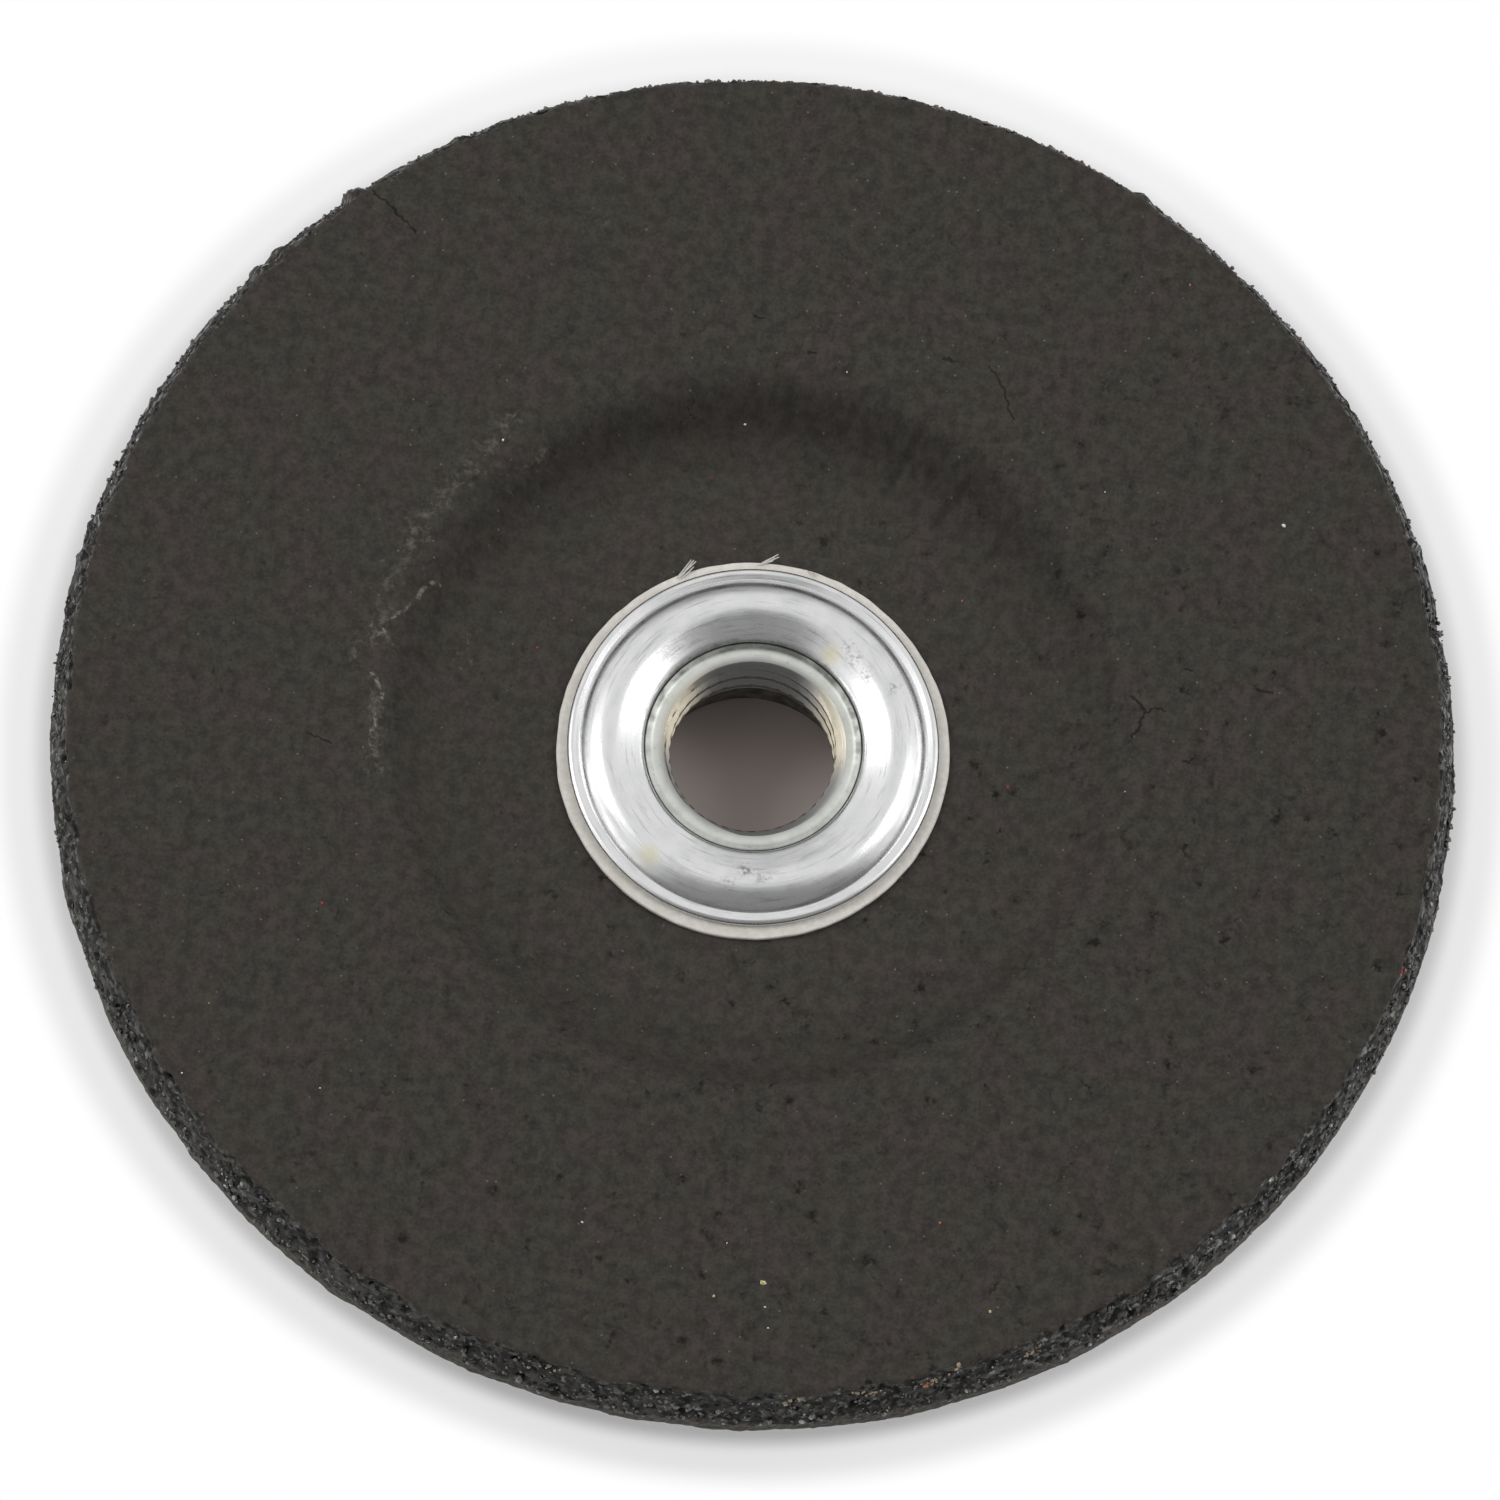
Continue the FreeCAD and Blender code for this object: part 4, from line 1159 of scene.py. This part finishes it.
    grain = add(tree, "Math", (pores, -1.2, add(tree, "Math", (fine, mottle), **PLUS)),
                **TIMES_PLUS)
    coat(tree, {"Base Color": skin,
                "Roughness": add(tree, "MapRange", (shade, 0.3, 0.7, 0.85, 0.7), **SMOOTH),
                "Specular IOR Level": 0.2,
                "Normal": add(tree, "Bump", {"Strength": 0.6, "Distance": 0.04 * MM,
                                             "Height": grain})})
    return material


def broken_rim_material():
    """The same resin and grit where it was torn from the mould's edge, in two finishes.

    The sloping wall is open: crystals of 0.5 mm stand bare, each with its own tone and tilt,
    with painted shade black in the gaps between, darkest beside the face: it glints here and there.
    The moulded foot below it is a smoother grey-brown skin.
    """
    material, tree, place = new_material("torn_resin_and_silicon_carbide")
    wall = add(tree, "Attribute", output="Fac", attribute_name="rim_wall")
    crystals = add(tree, "TexVoronoi", {"Vector": place, "Scale": per_mm(0.48)}, "Color")
    chance = add(tree, "SeparateColor", (crystals,)).node.outputs
    medium = add(tree, "TexNoise", {"Vector": place, "Scale": per_mm(0.9), "Detail": 3.0,
                                    "Roughness": 0.65})
    small = add(tree, "TexNoise", {"Vector": place, "Scale": per_mm(0.45), "Detail": 3.0,
                                   "Roughness": 0.7})
    # Painted shade: black in the gaps between the crystals, and blacker beside the face.
    gaps = add(tree, "MapRange", (medium, 0.55, 0.40, 0.0, 0.84), **SMOOTH)
    resin = add(tree, "MapRange", (medium, 0.45, 0.7, 0.0, 0.5), **SMOOTH)
    gap_shade_beside_face = overlap(
        tree,
        add(tree, "MapRange", (to_axis(tree, place), (FACE_EDGE_RADIUS + 1.2) * MM,
                               (FACE_EDGE_RADIUS + 0.6) * MM), **SMOOTH),
        add(tree, "MapRange", (medium, 0.60, 0.46, 0.0, 0.75), **SMOOTH))
    dark_grit = add(tree, "Math", (chance["Red"], 0.985), **TIMES)
    torn = layered(tree, grit_colour(tree, dark_grit),
                   (gaps, "#111010"), (resin, "#585650"), (gap_shade_beside_face, "#0b0a0a"))
    foot = layered(tree, linear("#282623"),
                   (add(tree, "MapRange", (small, 0.36, 0.64), **SMOOTH), "#565149"))

    glint = overlap(tree, wall,
                    add(tree, "MapRange", (chance["Green"], 0.55, 0.95, 0.0, 0.5), **SMOOTH))
    grain = add(tree, "Bump", {"Strength": 1.0, "Distance": 0.08 * MM, "Height": medium})
    facets = add(tree, "VectorMath", (crystals, (0.5, 0.5, 0.5)), **MINUS)
    lean = add(tree, "Math", (wall, 1.3), **TIMES)
    facets = add(tree, "VectorMath", {0: facets, "Scale": lean}, operation="SCALE")
    tilted = add(tree, "VectorMath", (grain, facets), **PLUS)
    coat(tree, {"Base Color": add(tree, "Mix", {0: wall, 6: foot, 7: torn}, **COLOURS),
                "Roughness": add(tree, "Math", (0.8, glint), **MINUS),
                "Specular IOR Level": 0.3,
                "Normal": add(tree, "VectorMath", (tilted,), operation="NORMALIZE")})
    return material


def flange_material():
    """Bright zinc plate on pressed steel: a pale metal with a soft mirror, faint rings and
    greyer arcs where the press tool slid on it, each 0.3 mm wide and a few millimetres long,
    a few smudges of grinding dust and pale yellow passivation stains."""
    material, tree, place = new_material("bright_zinc_plate")
    cloud = add(tree, "TexNoise", {"Vector": place, "Scale": per_mm(1.6), "Detail": 3.0})
    speckle = add(tree, "TexNoise", {"Vector": place, "Scale": per_mm(0.35)})

    # Noise in four dimensions: the direction from the axis, at three cells to a radian, and
    # the radius, so that its cells are long round the axis and narrow across.
    direction = add(tree, "VectorMath", (add(tree, "VectorMath", (place, (1, 1, 0)), **TIMES),),
                    operation="NORMALIZE")
    cells_per_radian = 3.0
    across = add(tree, "Math", (to_axis(tree, place), per_mm(0.3 * cells_per_radian)), **TIMES)
    arcs = add(tree, "TexNoise", {"Vector": direction, "W": across, "Scale": cells_per_radian,
                                  "Detail": 3.0, "Roughness": 0.65}, noise_dimensions="4D")

    bead_level = WASHER_TOP + 1.5
    blobs = add(tree, "TexNoise", {"Vector": place, "Scale": per_mm(0.5), "Detail": 3.0},
                "Color")
    spot = ragged(tree, place, blobs, (0.8 * MM,) * 3)
    smudges = overlap(
        tree,
        add(tree, "MapRange", (gap_to_spots(tree, spot, SMUDGES, bead_level), 1.0 * MM, 0.2 * MM),
            **SMOOTH),
        add(tree, "MapRange", (speckle, 0.42, 0.62), **SMOOTH))
    # The seam by the neck: dust, and painted shade in the crease, strongest on +y.
    seam = overlap(
        tree,
        add(tree, "MapRange", (to_axis(tree, spot), (NECK_RADIUS + 0.4) * MM, NECK_RADIUS * MM),
            **SMOOTH),
        add(tree, "MapRange", (cloud, 0.35, 0.6, 0.4, 0.9), **SMOOTH),
        far_side_seam_shade(tree, place))
    # Dust: the smudges, and the seam's dust with its painted shade.
    dust = add(tree, "Math", (smudges, seam), operation="MAXIMUM")
    dust_and_seam_shade_veil = add(tree, "Math", (dust, 0.6), **TIMES)
    metal = layered(
        tree, linear("#eeeeee"),
        (add(tree, "MapRange", (cloud, 0.3, 0.75), **SMOOTH), "#e2e3e3"),
        (add(tree, "MapRange", (arcs, 0.50, 0.72, 0.0, 0.55), **SMOOTH), "#a7a9ab"),
        (add(tree, "MapRange", (gap_to_spots(tree, place, STAINS, bead_level), 1.3 * MM, 0.2 * MM,
                                0.0, 0.6), **SMOOTH), "#e3dcb4"),
        (dust_and_seam_shade_veil, "#4c4d4b"))
    gloss = add(tree, "MapRange", (cloud, 0.3, 0.7, 0.24, 0.32), **SMOOTH)
    grain = add(tree, "TexNoise", {"Vector": place, "Scale": per_mm(0.6)})
    height = add(tree, "Math", (grain, 0.8, radial_lines(tree, place, 0.3)), **TIMES_PLUS)
    coat(tree, {"Base Color": metal,
                "Metallic": 1.0,
                "Roughness": add(tree, "Math", (dust, 0.25, gloss), **TIMES_PLUS),
                "Normal": add(tree, "Bump", {"Strength": 0.6, "Distance": 0.01 * MM,
                                             "Height": height})})
    return material


def hub_material():
    """Turned steel under thin zinc: a matte pale grey with a green cast on the faces. The seam on
    the staked rim is darker with dust and painted shade, most on +y. The thread in the bore is
    darker, warmer and shinier, with a painted highlight, lighter and yellow, left and right on +y."""
    material, tree, place = new_material("zinc_plated_turned_steel")
    cloud = add(tree, "TexNoise", {"Vector": place, "Scale": per_mm(1.2), "Detail": 3.0})
    worn = add(tree, "TexNoise", {"Vector": place, "Scale": per_mm(0.45), "Detail": 3.0,
                                  "Roughness": 0.6})
    grain = add(tree, "TexNoise", {"Vector": place, "Scale": per_mm(0.3)})
    radius = to_axis(tree, place)
    # The seam along the staked rim: dust, with painted shade, full on +y.
    seam = overlap(
        tree,
        add(tree, "MapRange", (radius, (NECK_RADIUS - 0.6) * MM, (NECK_RADIUS - 0.35) * MM),
            **SMOOTH),
        add(tree, "MapRange", (cloud, 0.35, 0.65, 0.6, 0.95), **SMOOTH),
        far_side_seam_shade(tree, place))
    inside = add(tree, "MapRange", (radius, (THREAD_MAJOR + 0.1) * MM,
                                    (THREAD_MINOR + 0.3) * MM), **SMOOTH)
    parts = add(tree, "SeparateXYZ", (place,)).node.outputs
    sideways = add(tree, "Math", (parts["X"],), operation="ABSOLUTE")
    # Painted highlight: the thread is lighter and yellow only on its walls left and right, towards
    # +y.
    yellow = overlap(
        tree, add(tree, "MapRange", (sideways, 3.6 * MM, 6.0 * MM), **SMOOTH),
        add(tree, "MapRange", (parts["Y"], -2.5 * MM, 1 * MM), **SMOOTH))
    face = layered(
        tree, linear("#dcded9"),
        (add(tree, "MapRange", (cloud, 0.3, 0.75), **SMOOTH), "#cccec8"),
        (add(tree, "MapRange", (worn, 0.60, 0.72, 0.0, 0.3), **SMOOTH), "#7c7f78"),
        (seam, "#6c6e69"))
    bore = layered(tree, linear("#8e8d8c"), (yellow, "#bfb7a5"))
    gloss = add(tree, "MapRange", (cloud, 0.3, 0.7, 0.38, 0.5), **SMOOTH)
    height = add(tree, "Math", (radial_lines(tree, place, 0.2), grain), **PLUS)
    coat(tree, {"Base Color": add(tree, "Mix", {0: inside, 6: face, 7: bore}, **COLOURS),
                "Metallic": 1.0,
                "Roughness": add(tree, "Math", (inside, -0.16, gloss), **TIMES_PLUS),
                "Normal": add(tree, "Bump", {"Strength": 0.5, "Distance": 0.01 * MM,
                                             "Height": height})})
    return material


def washer_material():
    """Pressed fibre board: a warm grey with short matted fibres and a dull surface."""
    material, tree, place = new_material("pressed_fibre_board")
    fibres = add(tree, "TexNoise", {"Vector": place, "Scale": per_mm(0.5), "Detail": 3.0,
                                    "Roughness": 0.7})
    cloud = add(tree, "TexNoise", {"Vector": place, "Scale": per_mm(2.5)})
    board = layered(
        tree, linear("#dad7d0"),
        (add(tree, "MapRange", (fibres, 0.3, 0.7), **SMOOTH), "#ece8e2"),
        (add(tree, "MapRange", (cloud, 0.35, 0.7, 0.0, 0.5), **SMOOTH), "#d6d0c7"))
    coat(tree, {"Base Color": board,
                "Roughness": 0.82,
                "Normal": add(tree, "Bump", {"Strength": 0.6, "Distance": 0.03 * MM,
                                             "Height": fibres})})
    return material


def fibre_material():
    """Glass fibre strands: pale grey to white, with a dull gleam."""
    material, tree, place = new_material("glass_fibre_strand")
    tone = add(tree, "TexNoise", {"Vector": place, "Scale": per_mm(0.4)})
    coat(tree, {"Base Color": layered(tree, linear("#bdbab4"), (tone, "#dddbd6")),
                "Roughness": 0.5})
    return material


# Floor, light and camera


def make_floor():
    """A wide pale floor under the disc. Seen directly, it clears to white a few millimetres
    outside the disc, and keeps the disc's own shadow close round it. Under the bore the paper
    is painted a little darker and warmer: painted shade with a painted warm cast."""
    span = 4000.0
    floor = make_mesh("floor", [(-span, -span, 0), (span, -span, 0), (span, span, 0),
                                (-span, span, 0)], [(0, 1, 2, 3)])
    material, tree, place = new_material("pale_paper_floor")
    # Painted shade and a painted warm cast: the paper under the bore is darker and warmer.
    painted_shade_under_bore = add(tree, "MapRange", (to_axis(tree, place), 14 * MM, 9 * MM), **SMOOTH)
    paper = add(tree, "BsdfPrincipled",
                {"Base Color": layered(tree, linear("#f4f3f4"), (painted_shade_under_bore, "#e6d7d2")),
                 "Roughness": 0.9, "Specular IOR Level": 0.2})
    white = add(tree, "Emission", {"Color": linear("#ffffff"), "Strength": 1.0})

    # White shows to the camera, in reflections and through glass, and only away from the disc.
    path = add(tree, "LightPath").node.outputs
    seen = add(tree, "Math", (path["Is Camera Ray"], path["Is Glossy Ray"]), **PLUS)
    seen = add(tree, "Math", (seen, path["Is Transmission Ray"]), use_clamp=True, **PLUS)
    shifted = add(tree, "VectorMath", (place, (0, 0.5 * WHEEL_BACK * MM, 0)), **MINUS)
    away = to_axis(tree, shifted)
    close = add(tree, "MapRange", (away, (WHEEL_RADIUS + 0.3) * MM, (WHEEL_RADIUS + 2.2) * MM,
                                   0.22, 0.66), **SMOOTH)
    wide = add(tree, "MapRange", (away, (WHEEL_RADIUS + 3) * MM, (WHEEL_RADIUS + 5.8) * MM,
                                  0.0, 0.34), **SMOOTH)
    bare = add(tree, "MapRange", (to_axis(tree, place), 0.4 * WHEEL_RADIUS * MM,
                                  0.8 * WHEEL_RADIUS * MM), **SMOOTH)
    clear = overlap(tree, seen, add(tree, "Math", (close, wide), **PLUS), bare)
    add(tree, "OutputMaterial", (add(tree, "MixShader", (clear, paper, white)),))
    floor.data.materials.append(material)


def make_world():
    """A white room, bright behind and above the disc, brighter low on both sides, and dim in
    front of it, a little to the right.

    In a frame turned so that the dim side is -y, the dim part is where y + 0.8 |x| is under
    about 0 for a direction (x, y, z). Low behind the disc, where y is over about 0.8, the
    room is half as bright.
    """
    world = bpy.data.worlds.new("studio")
    bpy.context.scene.world = world
    world.use_nodes = True
    tree = world.node_tree
    tree.nodes.clear()
    way = add(tree, "Mapping", {"Vector": add(tree, "TexCoord", output="Generated"),
                                "Rotation": (0, 0, math.radians(-13))}, vector_type="VECTOR")
    parts = add(tree, "SeparateXYZ", (way,)).node.outputs
    sideways = add(tree, "Math", (parts["X"],), operation="ABSOLUTE")
    measure = add(tree, "Math", (sideways, 0.8, parts["Y"]), **TIMES_PLUS)
    room = overlap(tree, add(tree, "MapRange", (measure, -0.08, 0.10, 0.24, 0.80), **SMOOTH),
                   add(tree, "MapRange", (parts["Y"], 0.78, 0.95, 1.0, 0.5), **SMOOTH))
    left = add(tree, "MapRange", (parts["X"], -0.82, -0.96, 0.0, 1.0), **SMOOTH)
    right = add(tree, "MapRange", (parts["X"], 0.82, 0.96, 0.0, 0.8), **SMOOTH)
    light = add(tree, "Math", (room, add(tree, "Math", (left, right), **PLUS)), **PLUS)
    shine = add(tree, "Background", {"Color": linear("#ffffff"), "Strength": light})
    add(tree, "OutputWorld", {"Surface": shine})


def add_softbox(name, direction, distance, width, height, power):
    """A soft lamp at a distance, facing the disc."""
    light = bpy.data.lights.new(name, "AREA")
    light.shape = "RECTANGLE"
    light.size = width * MM
    light.size_y = height * MM
    light.energy = power
    lamp = bpy.data.objects.new(name, light)
    way = Vector(direction).normalized()
    lamp.location = way * distance * MM
    lamp.rotation_euler = way.to_track_quat("Z", "Y").to_euler()
    bpy.context.scene.collection.objects.link(lamp)


def make_camera():
    """The long-lens camera that gives the photograph's view."""
    lens = bpy.data.cameras.new("camera")
    lens.sensor_width = 36.0
    lens.lens = lens.sensor_width * PIXELS_PER_MM * CAMERA_DISTANCE / FRAME_PIXELS
    lens.shift_x = (FRAME_PIXELS / 2 - TARGET_PIXEL[0]) / FRAME_PIXELS
    lens.shift_y = (TARGET_PIXEL[1] - FRAME_PIXELS / 2) / FRAME_PIXELS
    lens.clip_start = 0.1
    lens.clip_end = 20.0
    camera = bpy.data.objects.new("camera", lens)
    camera.matrix_world = Matrix((
        (RIGHT_AXIS.x, UP_AXIS.x, BACK_AXIS.x, CAMERA_PLACE.x * MM),
        (RIGHT_AXIS.y, UP_AXIS.y, BACK_AXIS.y, CAMERA_PLACE.y * MM),
        (RIGHT_AXIS.z, UP_AXIS.z, BACK_AXIS.z, CAMERA_PLACE.z * MM),
        (0, 0, 0, 1),
    ))
    bpy.context.scene.collection.objects.link(camera)
    bpy.context.scene.camera = camera


grit = grit_material()
make_wheel(skin_material("resin_bonded_silicon_carbide", False),
           skin_material("scuffed_resin_bonded_silicon_carbide", True),
           broken_rim_material())
make_rim_grit(grit)
make_specks(grit)
make_hub(hub_material())
make_flange(flange_material())
make_washer(washer_material())
make_fibres(fibre_material())
make_floor()
make_world()
add_softbox("left_softbox", (-0.64, 0.09, 0.763), distance=1000, width=240, height=380,
            power=1.5)
add_softbox("right_softbox", (0.62, 0.08, 0.780), distance=1000, width=240, height=360,
            power=1.2)
make_camera()
bpy.context.scene.view_settings.view_transform = "Standard"
